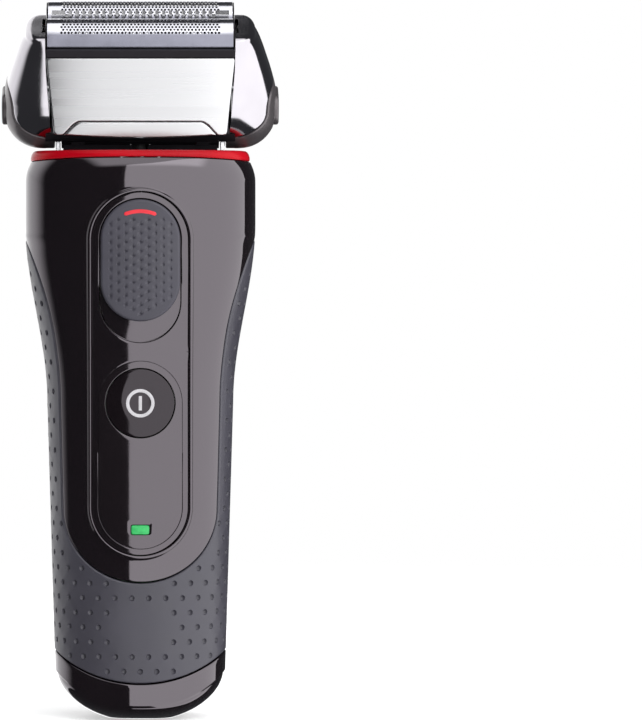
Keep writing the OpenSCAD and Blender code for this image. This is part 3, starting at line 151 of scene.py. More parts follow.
# ---- the handle's skin ----
def size_at(z, sizes):
    """A size of the handle at height z, from its values at the base, waist and shoulder."""
    base, waist, shoulder = sizes
    return (mix(base, waist, (np.minimum(z, WAIST_Z) - EDGE_SIDE_Z) / (WAIST_Z - EDGE_SIDE_Z))
            + (shoulder - waist) * smooth((z - WAIST_Z) / (FLARE_Z - WAIST_Z))
            - SHOULDER_BEVEL * clamp((z - SHOULDER_Z) / (TOP_Z - SHOULDER_Z)) ** 2)


def section_table():
    """Angle against distance along a quarter of the handle's section, and that quarter's length."""
    turn = np.linspace(0, QUARTER_TURN, 1200)
    x = WIDTHS[1] * np.sin(turn) ** (2 / SECTION_POWER)
    y = FRONTS[1] * np.cos(turn) ** (2 / SECTION_POWER)
    run = np.concatenate([[0], np.cumsum(np.hypot(np.diff(x), np.diff(y)))])
    return turn, run, run[-1]


TURN_TABLE, RUN_TABLE, QUARTER = section_table()


def turn_at(s):
    """Angle round the handle at distance s from the front's middle line (a quarter is QUARTER)."""
    s = (np.asarray(s, float) + 2 * QUARTER) % (4 * QUARTER) - 2 * QUARTER
    w = np.abs(s)
    folded = np.where(w <= QUARTER, w, 2 * QUARTER - w)
    turn = np.interp(folded, RUN_TABLE, TURN_TABLE)
    return np.sign(s) * np.where(w <= QUARTER, turn, math.pi - turn)


def run_at(turn):
    return np.interp(turn, TURN_TABLE, RUN_TABLE)


def run_of_x(x, z):
    """Distance s round the front for a point seen at x from the front."""
    f = clamp(np.abs(x) / size_at(z, WIDTHS)) ** (SECTION_POWER / 2)
    return np.sign(x) * run_at(np.arcsin(f))


def edge_z(turn):
    """Height of the base edge at an angle round the handle."""
    return mix(EDGE_FRONT_Z, EDGE_SIDE_Z, np.sin(turn) ** 2)


def section_point(z, turn, off):
    a = size_at(z, WIDTHS) - off
    b = np.where(np.cos(turn) >= 0, size_at(z, FRONTS), size_at(z, BACKS)) - off
    power = 2 / SECTION_POWER
    return a * signed_power(np.sin(turn), power), -b * signed_power(np.cos(turn), power)


def handle_skin(s, z, off):
    """Points of the handle's skin, off under it, whose top edge arches down toward the sides."""
    s, z, off = np.broadcast_arrays(np.asarray(s, float), z, off)
    turn = turn_at(s)
    z = np.maximum(z, edge_z(turn))
    x, y = section_point(z, turn, off)
    drop = ARCH_DROP * np.sin(turn) ** 2 * smooth((z - FLARE_Z) / (TOP_Z - FLARE_Z))
    return np.stack([x, y, z - drop], -1)


def back_skin(s, z, off):
    """Points of the handle's skin, by the distance s from the back's middle line."""
    return handle_skin(2 * QUARTER - s, z, off)


def front_skin(x, z, off):
    """Points of the front skin, by x and z as seen from the front."""
    x, z, off = np.broadcast_arrays(np.asarray(x, float), z, off)
    a = size_at(z, WIDTHS) - off
    b = size_at(z, FRONTS) - off
    y = -b * clamp(1 - clamp(np.abs(x) / a) ** SECTION_POWER) ** (1 / SECTION_POWER)
    return np.stack([x, y, z], -1)


def head_point(x, y, z):
    """World place of a point of the upright head, which is measured from the swing axis."""
    x, y, z = np.broadcast_arrays(np.asarray(x, float), y, z)
    c, s = math.cos(HEAD_TILT), math.sin(HEAD_TILT)
    return np.stack([x, y * c - z * s, PIVOT_Z + y * s + z * c], -1)


# ---- lines and distances ----
def arc(cx, cz, r, start, end, count):
    a = np.radians(np.linspace(start, end, count + 1))
    return np.column_stack([cx + r * np.cos(a), cz + r * np.sin(a)])


def line(start, end, count):
    return np.linspace(start, end, count + 1)


def joined(*runs):
    """One line from runs of points that each start where the one before ends."""
    return np.vstack([run[:-1] for run in runs[:-1]] + [runs[-1]])


def mirrored(half):
    """A closed loop from its right half, which runs from the lowest middle point to the highest."""
    return np.vstack([half, half[-2:0:-1] * [-1, 1]])


def rounding(radius, depth, steps=4):
    """Edge profile from the foot of the wall to the flat: (distance from the edge, how deep)."""
    turns = [QUARTER_TURN * k / steps for k in range(steps + 1)]
    return [(0.0, depth)] + [(radius * (1 - math.cos(a)), radius * (1 - math.sin(a))) for a in turns]


def rings_between(inner, outer, inner_edge, outer_edge, middle):
    """Rings from the inner to the outer loop, with an edge profile on each, as (rings, points, 3)."""
    gap = np.maximum(np.hypot(*(outer - inner).T), 1e-6)[:, None]
    toward = (outer - inner) / gap
    rings = [np.column_stack([inner + toward * d, np.full(len(inner), h)]) for d, h in inner_edge]
    d0, d1 = inner_edge[-1][0], outer_edge[-1][0]
    for k in range(1, middle + 1):
        d = d0 + (gap - d0 - d1) * k / (middle + 1)
        rings.append(np.column_stack([inner + toward * d, np.full(len(inner), 0.0)]))
    rings += [np.column_stack([outer - toward * d, np.full(len(inner), h)]) for d, h in reversed(outer_edge)]
    return np.array(rings)


def placed(rings, place, base=0.0):
    """Rings of (x, z, depth) as points on a surface."""
    return place(rings[..., 0], rings[..., 1], rings[..., 2] + base)


def polyline_distance(points):
    start, run = points[:-1], np.diff(points, axis=0)
    length2 = (run ** 2).sum(1)

    def distance(s, z):
        p = np.stack([s, z], -1)
        best = np.full(len(p), np.inf)
        for a, d, l2 in zip(start, run, length2):
            f = clamp(((p - a) @ d) / l2)
            best = np.minimum(best, np.hypot(*(p - a - f[:, None] * d).T))
        return best
    return distance


def polygon_distance(corners):
    """Signed distance to a closed polygon, positive inside."""
    corners = np.asarray(corners, float)
    edge = polyline_distance(np.vstack([corners, corners[:1]]))

    def field(x, z):
        inside = np.zeros(len(x), bool)
        for (x0, z0), (x1, z1) in zip(corners, np.roll(corners, -1, 0)):
            if z0 != z1:
                crosses = (z0 > z) != (z1 > z)
                inside ^= crosses & (x < x0 + (x1 - x0) * (z - z0) / (z1 - z0))
        return np.where(inside, 1, -1) * edge(x, z)
    return field


def smooth_curve(keys, values):
    """A smooth function through a few points, by cubic steps with mean slopes between them."""
    keys, values = np.array(keys, float), np.array(values, float)
    steps = np.diff(values) / np.diff(keys)
    slopes = np.concatenate([[steps[0]], (steps[1:] + steps[:-1]) / 2, [steps[-1]]])

    def curve(t):
        k = np.clip(np.searchsorted(keys, t) - 1, 0, len(keys) - 2)
        h = keys[k + 1] - keys[k]
        f = clamp((t - keys[k]) / h)
        return (values[k] * (1 + 2 * f) * (1 - f) ** 2 + h * slopes[k] * f * (1 - f) ** 2
                + values[k + 1] * f * f * (3 - 2 * f) + h * slopes[k + 1] * f * f * (f - 1))
    return curve


# ---- meshes ----
def grid_faces(rows, columns, closed=False):
    """Quads between the rows of a grid, which closes on itself along a row if closed."""
    last = columns if closed else columns - 1
    return [(r * columns + c, r * columns + (c + 1) % columns,
             (r + 1) * columns + (c + 1) % columns, (r + 1) * columns + c)
            for r in range(rows - 1) for c in range(last)]


def patch(rows, closed=True, ends=False):
    """Points and faces of a grid; ends covers its first and last row with a face each."""
    rows = np.asarray(rows, float)
    count, columns = rows.shape[:2]
    faces = grid_faces(count, columns, closed)
    if ends:
        faces += [range(columns), range((count - 1) * columns, count * columns)]
    return rows.reshape(-1, 3), faces


def finish_mesh(bm, mesh, sharp):
    """Shades a mesh smooth up to edges of so many degrees, and writes it."""
    limit = math.radians(sharp)
    for face in bm.faces:
        face.smooth = True
    for edge in bm.edges:
        edge.smooth = len(edge.link_faces) != 2 or edge.calc_face_angle(0) < limit
    bm.to_mesh(mesh)
    bm.free()


def add_object(name, mesh, body, slot, finish=None):
    """A new object that rides on a body and takes its finish from a slot, or from another material."""
    obj = bpy.data.objects.new(name, mesh)
    bpy.context.scene.collection.objects.link(obj)
    mesh.materials.append(MATERIALS[finish or slot])
    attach(obj, body)
    return obj


def piece(name, points, faces, body, slot, sharp=50, weld=False, finish=None):
    """A new object from points in millimetres."""
    mesh = bpy.data.meshes.new(name)
    mesh.from_pydata((np.asarray(points) * MM).tolist(), [], [list(f) for f in faces])
    bm = bmesh.new()
    bm.from_mesh(mesh)
    if weld:
        bmesh.ops.remove_doubles(bm, verts=bm.verts, dist=0.004 * MM)
    bmesh.ops.dissolve_degenerate(bm, edges=bm.edges, dist=0.0004 * MM)
    bmesh.ops.delete(bm, geom=[v for v in bm.verts if not v.link_faces], context="VERTS")
    bmesh.ops.recalc_face_normals(bm, faces=bm.faces)
    finish_mesh(bm, mesh, sharp)
    obj = add_object(name, mesh, body, slot, finish)
    even = obj.modifiers.new("even shading", "WEIGHTED_NORMAL")
    even.keep_sharp = True
    return obj


def skin(node, *patches, **options):
    """A piece from one or more patches that stands for a CAD node, with its body and slot."""
    points, faces = [], []
    for its_points, its_faces in patches:
        faces += [[i + len(points) for i in face] for face in its_faces]
        points += list(its_points)
    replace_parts(piece(node + "_skin", points, faces, BODIES[node], SLOTS[node], **options), node)


class Sheet:
    """A mesh over two coordinates, each point with a depth under its surface, that can be cut."""

    def __init__(self, points, faces, depth=None):
        self.points = [tuple(p) for p in points]
        self.depth = [0.0] * len(self.points) if depth is None else list(depth)
        self.faces = [list(f) for f in faces]

    @classmethod
    def grid(cls, x, z, depth=None):
        return cls(np.stack(np.meshgrid(x, z), -1).reshape(-1, 2), grid_faces(len(z), len(x)), depth)

    def snap(self, value, field, reach):
        """Moves the points that lie within reach of field = 0 onto it."""
        points = np.array(self.points)
        near = np.flatnonzero(np.abs(value) < reach)
        step = 0.01
        x, z = points[near, 0], points[near, 1]
        gradient = np.stack([field(x + step, z) - field(x - step, z),
                             field(x, z + step) - field(x, z - step)], -1) / (2 * step)
        length = np.maximum((gradient ** 2).sum(1), 0.05)
        points[near] -= gradient * (value[near] / length)[:, None]
        value[near] = 0.0
        self.points = [tuple(p) for p in points]

    def cut(self, field, level=0.0, keep_low=False, snap=0.04):
        """Cuts all faces along field = level, and drops the lower side unless keep_low."""
        points = np.array(self.points)
        value = field(points[:, 0], points[:, 1]) - level
        self.snap(value, field, snap)
        made = {}

        def between(a, b):
            key = (min(a, b), max(a, b))
            if key not in made:
                f = value[a] / (value[a] - value[b])
                pa, pb = self.points[a], self.points[b]
                made[key] = len(self.points)
                self.points.append((mix(pa[0], pb[0], f), mix(pa[1], pb[1], f)))
                self.depth.append(mix(self.depth[a], self.depth[b], f))
            return made[key]

        faces = []
        for face in self.faces:
            values = [value[i] for i in face]
            if min(values) >= 0:
                faces.append(face)
                continue
            if max(values) <= 0:
                if keep_low:
                    faces.append(face)
                continue
            high, low = [], []
            for k, a in enumerate(face):
                b = face[(k + 1) % len(face)]
                if value[a] >= 0:
                    high.append(a)
                if value[a] <= 0:
                    low.append(a)
                if value[a] * value[b] < 0:
                    m = between(a, b)
                    high.append(m)
                    low.append(m)
            if len(high) > 2:
                faces.append(high)
            if keep_low and len(low) > 2:
                faces.append(low)
        self.faces = faces
        return self

    def lower(self, amount):
        """Adds to the depths by a function of the two coordinates."""
        points = np.array(self.points)
        self.depth = list(np.array(self.depth) + amount(points[:, 0], points[:, 1]))
        return self

    def round_edge(self, field, profile, snap=0.04, line_snap=0.015):
        """Ends the sheet at a field's level, and rounds it down there: profile is (level, depth) inward."""
        self.cut(field, profile[0][0], snap=snap)
        for level, _ in profile[1:]:
            self.cut(field, level, True, line_snap)
        levels, depths = zip(*profile)
        return self.lower(lambda x, z: np.interp(field(x, z), levels, depths))

    def wall(self, depth, chosen=None):
        """Pushes the open edges straight down to a depth, those at chosen points only if given."""
        count = {}
        for face in self.faces:
            for k, a in enumerate(face):
                b = face[(k + 1) % len(face)]
                count.setdefault((min(a, b), max(a, b)), []).append((a, b))
        twin = {}

        def down(a):
            if a not in twin:
                twin[a] = len(self.points)
                self.points.append(self.points[a])
                self.depth.append(depth)
            return twin[a]

        for pairs in count.values():
            if len(pairs) == 1:
                a, b = pairs[0]
                if chosen is None or (chosen(*self.points[a]) and chosen(*self.points[b])):
                    self.faces.append([b, a, down(a), down(b)])
        return self

    def skin(self, node, place, base=0.0, **options):
        """Puts the sheet on a surface, as a piece that stands for a CAD node."""
        used = sorted({i for face in self.faces for i in face})
        order = {old: new for new, old in enumerate(used)}
        points = np.array(self.points)[used]
        depth = np.array(self.depth)[used] + base
        faces = [[order[i] for i in face] for face in self.faces]
        skin(node, (place(points[:, 0], points[:, 1], depth), faces), **options)


# ---- materials ----
def connect(tree, target, inputs):
    """Links each input that is given as a socket, and sets any other to its value."""
    for name, value in inputs.items():
        if isinstance(value, bpy.types.NodeSocket):
            tree.links.new(value, target.inputs[name])
        else:
            target.inputs[name].default_value = value


def add_node(tree, kind, inputs=None, **settings):
    made = tree.nodes.new("ShaderNode" + kind)
    for name, value in settings.items():
        setattr(made, name, value)
    connect(tree, made, inputs or {})
    return made


def new_material(name):
    material = bpy.data.materials.new(name)
    material.use_nodes = True
    return material, material.node_tree, material.node_tree.nodes["Principled BSDF"]


def object_coords(tree):
    return add_node(tree, "TexCoord").outputs["Object"]


def object_noise(tree, scale, detail=3.0, stretch=None):
    """Noise in the object's own coordinates; stretch squeezes it along chosen axes."""
    source = object_coords(tree)
    if stretch:
        source = add_node(tree, "Mapping", {"Vector": source, "Scale": stretch}).outputs["Vector"]
    return add_node(tree, "TexNoise", {"Vector": source, "Scale": scale, "Detail": detail}).outputs["Fac"]


def map_range(tree, source, start, end, low=0.0, high=1.0, curve="LINEAR"):
    """A value from start to end, as one from low to high."""
    inputs = {"Value": source, "From Min": start, "From Max": end, "To Min": low, "To Max": high}
    return add_node(tree, "MapRange", inputs, interpolation_type=curve).outputs["Result"]


def spread(tree, noise, middle, reach):
    """A noise as a value that wanders round its middle."""
    return map_range(tree, noise, 0.3, 0.7, max(0.02, middle - reach), middle + reach)


def tint(tree, noise, low, high):
    """A noise as a colour between two."""
    ramp = add_node(tree, "ValToRGB", {"Fac": noise})
    for element, position, color in zip(ramp.color_ramp.elements, (0.35, 0.65), (low, high)):
        element.position = position
        element.color = (*color, 1)
    return ramp.outputs["Color"]


def bump(tree, scale, height, strength, stretch=None):
    """A fine grain as a normal."""
    grain = object_noise(tree, scale, 2.0, stretch)
    inputs = {"Height": grain, "Distance": height * MM, "Strength": strength}
    return add_node(tree, "Bump", inputs).outputs["Normal"]


def surface(name, color, rough, metal=0.0, vary=0.12, cloud=120, grain=2500, grain_h=0.01, strength=0.3,
            coat=0.0, stretch=None, rough_vary=0.06, gloss=0.5, sheen=None):
    """A finish with a cloudy tint, a roughness that wanders and a fine grain."""
    material, tree, shader = new_material(name)
    clouds = object_noise(tree, cloud, stretch=stretch)
    low, high = [c * (1 - vary) for c in color], [min(1.0, c * (1 + vary)) for c in color]
    connect(tree, shader, {"Base Color": tint(tree, clouds, low, high),
                           "Roughness": spread(tree, clouds, rough, rough_vary),
                           "Metallic": metal, "Specular IOR Level": gloss,
                           "Coat Weight": coat, "Coat Roughness": 0.03})
    if sheen:
        connect(tree, shader, {"Specular Tint": sheen})
    if grain_h:
        connect(tree, shader, {"Normal": bump(tree, grain, grain_h, strength, stretch)})
    return material


def foil_steel_painted_light(skirt_painted_shade, arch, rough):
    """Steel foil with painted light: a painted highlight over the arch, painted shade down its skirt, with a
    soft change between them.
    """
    material, tree, shader = new_material("foil_steel")
    up = (0, -math.sin(HEAD_TILT) / MM, math.cos(HEAD_TILT) / MM)
    inputs = {0: object_coords(tree), 1: up}
    height = add_node(tree, "VectorMath", inputs, operation="DOT_PRODUCT").outputs["Value"]
    foot = PIVOT_Z * math.cos(HEAD_TILT) + FOIL_Z + 1.5
    # painted shade below this height and a painted highlight above it, both in the foil's colour
    share = map_range(tree, height, foot, foot + 1.0, curve="SMOOTHSTEP")
    painted_light_blend = add_node(tree, "Mix", {"Factor": share, "A": (*skirt_painted_shade, 1), "B": (*arch, 1)}, data_type="RGBA")
    connect(tree, shader, {"Base Color": painted_light_blend.outputs["Result"], "Metallic": 1.0,
                           "Roughness": spread(tree, object_noise(tree, 200), rough, 0.05),
                           "Normal": bump(tree, 4000, 0.003, 0.3)})
    return material


def glowing(name, color, strength):
    """A lit window with a soft diffuser's mottle."""
    material, tree, shader = new_material(name)
    mottle = object_noise(tree, 900)
    dim = [c * 0.75 for c in color]
    connect(tree, shader, {"Base Color": tint(tree, mottle, dim, color),
                           "Emission Color": tint(tree, mottle, dim, color),
                           "Emission Strength": strength, "Roughness": 0.35})
    return material


BLACK = {"sheen": (1.0, 0.91, 1.0, 1)}
POLISHED = {**BLACK, "vary": 0.1, "grain_h": 0, "rough_vary": 0.012}
PLAIN_METAL = {"metal": 1.0, "vary": 0.1}
SURFACES = {
    "gloss_black": dict(POLISHED, color=(0.0042, 0.0028, 0.0036), rough=0.045, cloud=60, gloss=1.0),
    "gloss_black_rear": dict(POLISHED, color=(0.0045, 0.003, 0.0038), rough=0.055, cloud=60, gloss=1.0,
                             rough_vary=0.015),
    "panel_black": dict(POLISHED, color=(0.0046, 0.0032, 0.004), rough=0.06, cloud=90, gloss=0.95),
    "display_black": dict(POLISHED, color=(0.0056, 0.004, 0.0048), rough=0.06, cloud=90, gloss=0.93),
    "button_black": dict(POLISHED, color=(0.0046, 0.0032, 0.004), rough=0.07, cloud=90, gloss=0.38),
    "grip_rubber": dict(color=(0.041, 0.039, 0.052), rough=0.45, vary=0.07, cloud=90, grain=6500,
                        grain_h=0.03, strength=0.35),
    "slider_rubber": dict(color=(0.038, 0.036, 0.050), rough=0.55, vary=0.06, cloud=160, grain=6500,
                          grain_h=0.02),
    "red_ring": dict(color=(0.36, 0.001, 0.007), rough=0.3, vary=0.08, grain_h=0, rough_vary=0.03,
                     gloss=0.12),
    "red_mark": dict(color=(0.62, 0.006, 0.02), rough=0.4, vary=0.1, cloud=400, grain_h=0),
    "symbol_grey": dict(color=(0.46, 0.45, 0.47), rough=0.45, vary=0.05, cloud=400, grain_h=0),
    "steel": dict(PLAIN_METAL, color=(0.55, 0.55, 0.57), rough=0.24, cloud=300, grain=3000, grain_h=0.004),
    "plate_steel": dict(color=(0.49, 0.49, 0.50), rough=0.27, metal=1.0, vary=0.06, cloud=260, grain=5200,
                        grain_h=0.006, strength=0.35, stretch=(0.02, 1.0, 1.0), rough_vary=0.05),
    "arm_chrome": dict(color=(0.38, 0.365, 0.39), rough=0.11, metal=1.0, vary=0.05, cloud=80, grain_h=0,
                       rough_vary=0.03),
    "guard_grey": dict(color=(0.095, 0.085, 0.09), rough=0.34, metal=0.55, vary=0.08, cloud=150, grain=4200,
                       grain_h=0.006),
    "black_plastic": dict(BLACK, color=(0.012, 0.011, 0.013), rough=0.34, grain=3600, grain_h=0.008,
                          gloss=0.12),
    "frame_plastic": dict(color=(0.62, 0.62, 0.58), rough=0.5, vary=0.04, grain_h=0.008),
    "bridge_plastic": dict(color=(0.70, 0.70, 0.67), rough=0.42, vary=0.04, grain_h=0.006),
    "motor_steel": dict(PLAIN_METAL, color=(0.40, 0.40, 0.42), rough=0.3, cloud=200),
    "battery_wrap": dict(color=(0.03, 0.16, 0.07), rough=0.3, vary=0.1, cloud=90, coat=0.3),
    "contact_metal": dict(PLAIN_METAL, color=(0.75, 0.60, 0.30), rough=0.22, cloud=400, grain_h=0.003),
    "board_green": dict(color=(0.01, 0.10, 0.035), rough=0.35, vary=0.35, cloud=420, coat=0.3),
    "part_black": dict(BLACK, color=(0.02, 0.02, 0.022), rough=0.45, grain=3000),
    "seal_rubber": dict(color=(0.02, 0.02, 0.022), rough=0.6, grain=4000, grain_h=0.02),
}
MATERIALS = {name: surface(name, **look) for name, look in SURFACES.items()}
# the foil's two colours are painted shade on its skirt and a painted highlight on its arch
MATERIALS["foil_steel"] = foil_steel_painted_light((0.17, 0.17, 0.205), (0.52, 0.52, 0.56), 0.17)
MATERIALS["green_window"] = glowing("green_window", (0.012, 0.28, 0.065), 0.8)


# ---- outlines on the handle ----
def bib_edge(z):
    """Distance s of the gloss field's side edge at height z, up to the tongue's top."""
    u = clamp((z - TONGUE_TOP_Z + TONGUE_BEND) / TONGUE_BEND)
    turn = TONGUE_ANGLE + (QUARTER_TURN - TONGUE_ANGLE) * (1 - np.sqrt(1 - u * u))
    return run_at(turn)


def bib_bottom(low_z, count):
    """Right half of the gloss field's round lower end, as (s, z)."""
    x0 = size_at(low_z, WIDTHS) * math.sin(TONGUE_ANGLE) ** (2 / SECTION_POWER)
    a = np.radians(np.linspace(-90, 0, count + 1))
    z = low_z + BIB_R * np.sin(a)
    return np.column_stack([run_of_x(x0 * np.cos(a), z), z])


def side_edge(low, high, count):
    """Right edge of a gloss field from one height to another, which runs along the side seam on top."""
    z = np.linspace(low, high, count + 1)
    return np.column_stack([np.minimum(bib_edge(z), QUARTER - SIDE_SEAM), z])


def outside_bib(low_z):
    """Signed distance to a gloss field's edge, positive on the rubber."""
    round_count = 20
    points = joined(bib_bottom(low_z, round_count), side_edge(low_z, TONGUE_TOP_Z, 60))
    points[-1, 0] = QUARTER
    distance = polyline_distance(points)
    bottom = points[:round_count + 1]

    def field(s, z):
        s = np.abs(s)
        edge = np.where(z >= low_z, bib_edge(z), np.interp(z, bottom[:, 1], bottom[:, 0], left=-1.0))
        inside = (s < edge) | (z > TONGUE_TOP_Z)
        return np.where(inside, -1, 1) * distance(s, z)
    return field


def cap_seam(s, z):
    """Height of the base cap's upper edge at distance s round the handle."""
    x, _ = section_point(z, turn_at(s), 0.0)
    return CAP_SEAM_Z + CAP_SEAM_R - np.sqrt(CAP_SEAM_R ** 2 - x ** 2)


# ---- handle: shells ----
SHELL_EDGE = rounding(0.22, GRIP_T + 0.3)


def front_shell():
    """Gloss front between the side seams, the rubber and the opening for the panel, with its rim."""
    opening = PANEL_W + PANEL_GAP
    turn_low, turn_high = PANEL_LOW - PANEL_GAP + opening, PANEL_HIGH + PANEL_GAP - opening
    inner = mirrored(joined(
        arc(0, turn_low, opening, -90, 0, 26), line((opening, turn_low), (opening, turn_high), 44),
        arc(0, turn_high, opening, 0, 42, 16), arc(0, turn_high, opening, 42, 90, 22)))
    outer = mirrored(joined(
        bib_bottom(BIB_Z, 26), side_edge(BIB_Z, turn_high, 44), side_edge(turn_high, TOP_Z, 16),
        line((QUARTER - SIDE_SEAM, TOP_Z), (0, TOP_Z), 22)))
    inner[:, 0] = run_of_x(inner[:, 0], inner[:, 1])
    crest = RIM_W * 0.45
    rim = [(0.0, SHELL_T), (0.0, -RIM_H + 0.16), (0.05, -RIM_H + 0.05), (0.16, -RIM_H),
           (crest, -RIM_H - 0.01)]
    rim += [(crest + (RIM_W - crest) * k / 6 * 1.15, -RIM_H * (1 - smooth(k / 6))) for k in range(1, 7)]
    rings = rings_between(inner, outer, rim, SHELL_EDGE, 22)
    skin("front_shell", patch(placed(rings, handle_skin)))


def rear_shell():
    """Gloss back, a U round the trimmer's channel."""
    corner_s = run_of_x(CHANNEL_W, CHANNEL_LOW)
    low_count, side_count = 26, 60
    inner = joined(line((0, CHANNEL_LOW), (corner_s, CHANNEL_LOW), low_count),
                   line((corner_s, CHANNEL_LOW), (corner_s, TOP_Z), side_count))
    inner[low_count:, 0] = run_of_x(CHANNEL_W, inner[low_count:, 1])
    outer = joined(bib_bottom(REAR_BIB_Z, low_count), side_edge(REAR_BIB_Z, TOP_Z, side_count))
    half = rings_between(inner, outer, rounding(0.25, 2.6), SHELL_EDGE, 22)
    half = np.concatenate([half, half[:, -1:]], 1)
    half[:, -1, 2] = np.maximum(half[:, -1, 2], 2.0)
    rings = np.concatenate([half[:, :0:-1] * [-1, 1, 1], half], 1)
    skin("rear_shell", patch(placed(rings, back_skin), closed=False))


def square_turn(dc, dr, ring):
    """Place on a square ring as eighths of a turn, evenly spaced."""
    if dc == ring and -ring < dr <= ring:
        return dr / ring
    if dr == ring:
        return 2 - dc / ring
    if dc == -ring:
        return 4 - dr / ring
    return 6 + dc / ring


RING_CELLS = [(dr, dc) for dr in range(-2, 3) for dc in range(-2, 3) if dr or dc]


def pressed_lattice(x, z, centres, radii, depths, closed=False):
    """A lattice drawn round each centre into two circles that are pressed in, and its depths."""
    points = np.stack(np.meshgrid(x, z), -1)
    rows, columns = points.shape[:2]
    depth = np.zeros((rows, columns))
    for row, column in centres:
        middle = points[row, column].copy()
        depth[row, column] = depths[0]
        for dr, dc in RING_CELLS:
            r, c = row + dr, column + dc
            laps = c // columns if closed else 0
            c -= laps * columns
            if not (0 <= r < rows and 0 <= c < columns):
                continue
            ring = max(abs(dr), abs(dc))
            angle = QUARTER_TURN / 2 * square_turn(dc, dr, ring)
            points[r, c] = middle + np.array([math.cos(angle), math.sin(angle)]) * radii[ring - 1]
            points[r, c, 0] -= laps * 4 * QUARTER
            depth[r, c] = depths[ring]
    return points, depth


def grip_sleeve():
    """Rubber sleeve with rows of small dimples, left plain where a name would stand."""
    columns = DIMPLES_ROUND * CELLS
    row_h = DIMPLE_ROW / ROW_CELLS
    low = CAP_SEAM_Z - 1.0
    rows = int((TONGUE_TOP_Z + 1 - low) / row_h)
    s = (np.arange(columns) - columns / 2) * (4 * QUARTER / columns)
    z = low + np.arange(rows) * row_h
    front, rear = outside_bib(BIB_Z), outside_bib(REAR_BIB_Z)

    def back(s, z):
        return rear(2 * QUARTER - np.abs(s), z)

    def seam(s, z):
        return z - cap_seam(s, z)

    centres = []
    for k, row in enumerate(range(6, rows - 3, ROW_CELLS)):
        for column in range((k % 2) * CELLS // 2, columns, CELLS):
            place = np.array([s[column]]), np.array([z[row]])
            bare = abs(s[column]) < BARE_W and BARE_LOW < z[row] < BARE_HIGH
            room = min(front(*place)[0], back(*place)[0], seam(*place)[0] - SEAM_GAP)
            if room > DIMPLE_MARGIN and not bare:
                centres.append((row, column))
    points, depth = pressed_lattice(s, z, centres, (0.5, 0.68), (0.5, 0.42, 0.0), closed=True)
    points = np.concatenate([points, points[:, :1] + [4 * QUARTER, 0]], 1)
    depth = np.concatenate([depth, depth[:, :1]], 1)
    sheet = Sheet(points.reshape(-1, 2), grid_faces(rows, columns + 1), depth.reshape(-1))
    edge = [(SEAM_GAP, 0.34), (SEAM_GAP + 0.12, 0.1), (SEAM_GAP + 0.34, 0.0)]
    for field in (front, back, seam):
        sheet.round_edge(field, edge, line_snap=0.04)
    end = 2 * QUARTER - 0.001
    sheet.wall(GRIP_T, lambda s, z: abs(s) < end)
    sheet.skin("grip_sleeve", handle_skin, weld=True, sharp=55)


def base_cap():
    """Gloss cap under the seam: a band, the base edge, the dome, the flat foot and the socket's opening."""
    count = 240
    s = (np.arange(count) / count * 4 - 2) * QUARTER
    turn = turn_at(s)
    low = edge_z(turn)
    high = cap_seam(s, low + 4)
    rows = [handle_skin(s, high - d, h) for d, h in rounding(0.3, 3.2)]
    rows += [handle_skin(s, mix(high - 0.3, low, f), 0.0) for f in (0.15, 0.35, 0.6, 0.8, 0.92, 0.98, 1.0)]
    x, y = section_point(low, turn, EDGE_STEP)
    for u in (0.0, 0.03, 0.08, 0.16, 0.26, 0.37, 0.48, 0.58, 0.67, 0.75, 0.81, 0.86, FOOT_U):
        scale = (1 - u ** DOME_POWER) ** (1 / DOME_POWER)
        rows.append(np.column_stack([x * scale, y * scale, (low - EDGE_STEP) * (1 - u / FOOT_U)]))
    hole = np.column_stack([SOCKET_W * signed_power(np.sin(turn), SOCKET_POWER),
                            -SOCKET_D * signed_power(np.cos(turn), SOCKET_POWER), np.zeros(count)])
    rows += [mix(rows[-1], hole, 0.5), hole, hole + [0, 0, SOCKET_H]]
    skin("base_cap", patch(rows), sharp=60)


def collar_ring():
    """Red ring under the head, open at the back for the hair trimmer."""
    count = 220
    reach = 2 * QUARTER - run_of_x(CHANNEL_W + 0.3, TOP_Z)
    turn = turn_at(np.linspace(-reach, reach, count))
    low = RING_LOW - ARCH_DROP * np.sin(turn) ** 2
    profile = [(0.45, 0.0), (0.2, 0.03), (0.1, 0.14), (0.1, 0.35), (0.3, 0.66), (0.62, 0.88), (0.98, 0.98),
               (1.3, 1.0), (2.2, 0.99), (2.5, 0.92), (2.6, 0.75), (2.6, 0.1), (2.4, 0.0)]
    rows = []
    for off, f in profile:
        x, y = section_point(np.full(count, TOP_Z), turn, off)
        rows.append(np.column_stack([x, y, mix(low, RING_HIGH, f)]))
    skin("collar_ring", patch(np.array(rows).transpose(1, 0, 2), ends=True))


# ---- handle: controls ----
def panel_field(outer, inner, inner_edge, outer_edge, middle, joint_z):
    """One field of a panel, whose edge stays flat where it meets the next field at a height."""
    outer, inner = mirrored(outer), mirrored(inner)
    rings = rings_between(inner, outer, inner_edge, outer_edge, middle)
    joint = (np.abs(outer[:, 1] - joint_z) < 1e-6) & (np.abs(outer[:, 0]) < outer[:, 0].max() - 1e-6)
    rings[-len(outer_edge):, joint, 2] = 0.0
    return patch(placed(rings, front_skin, PANEL_INSET))


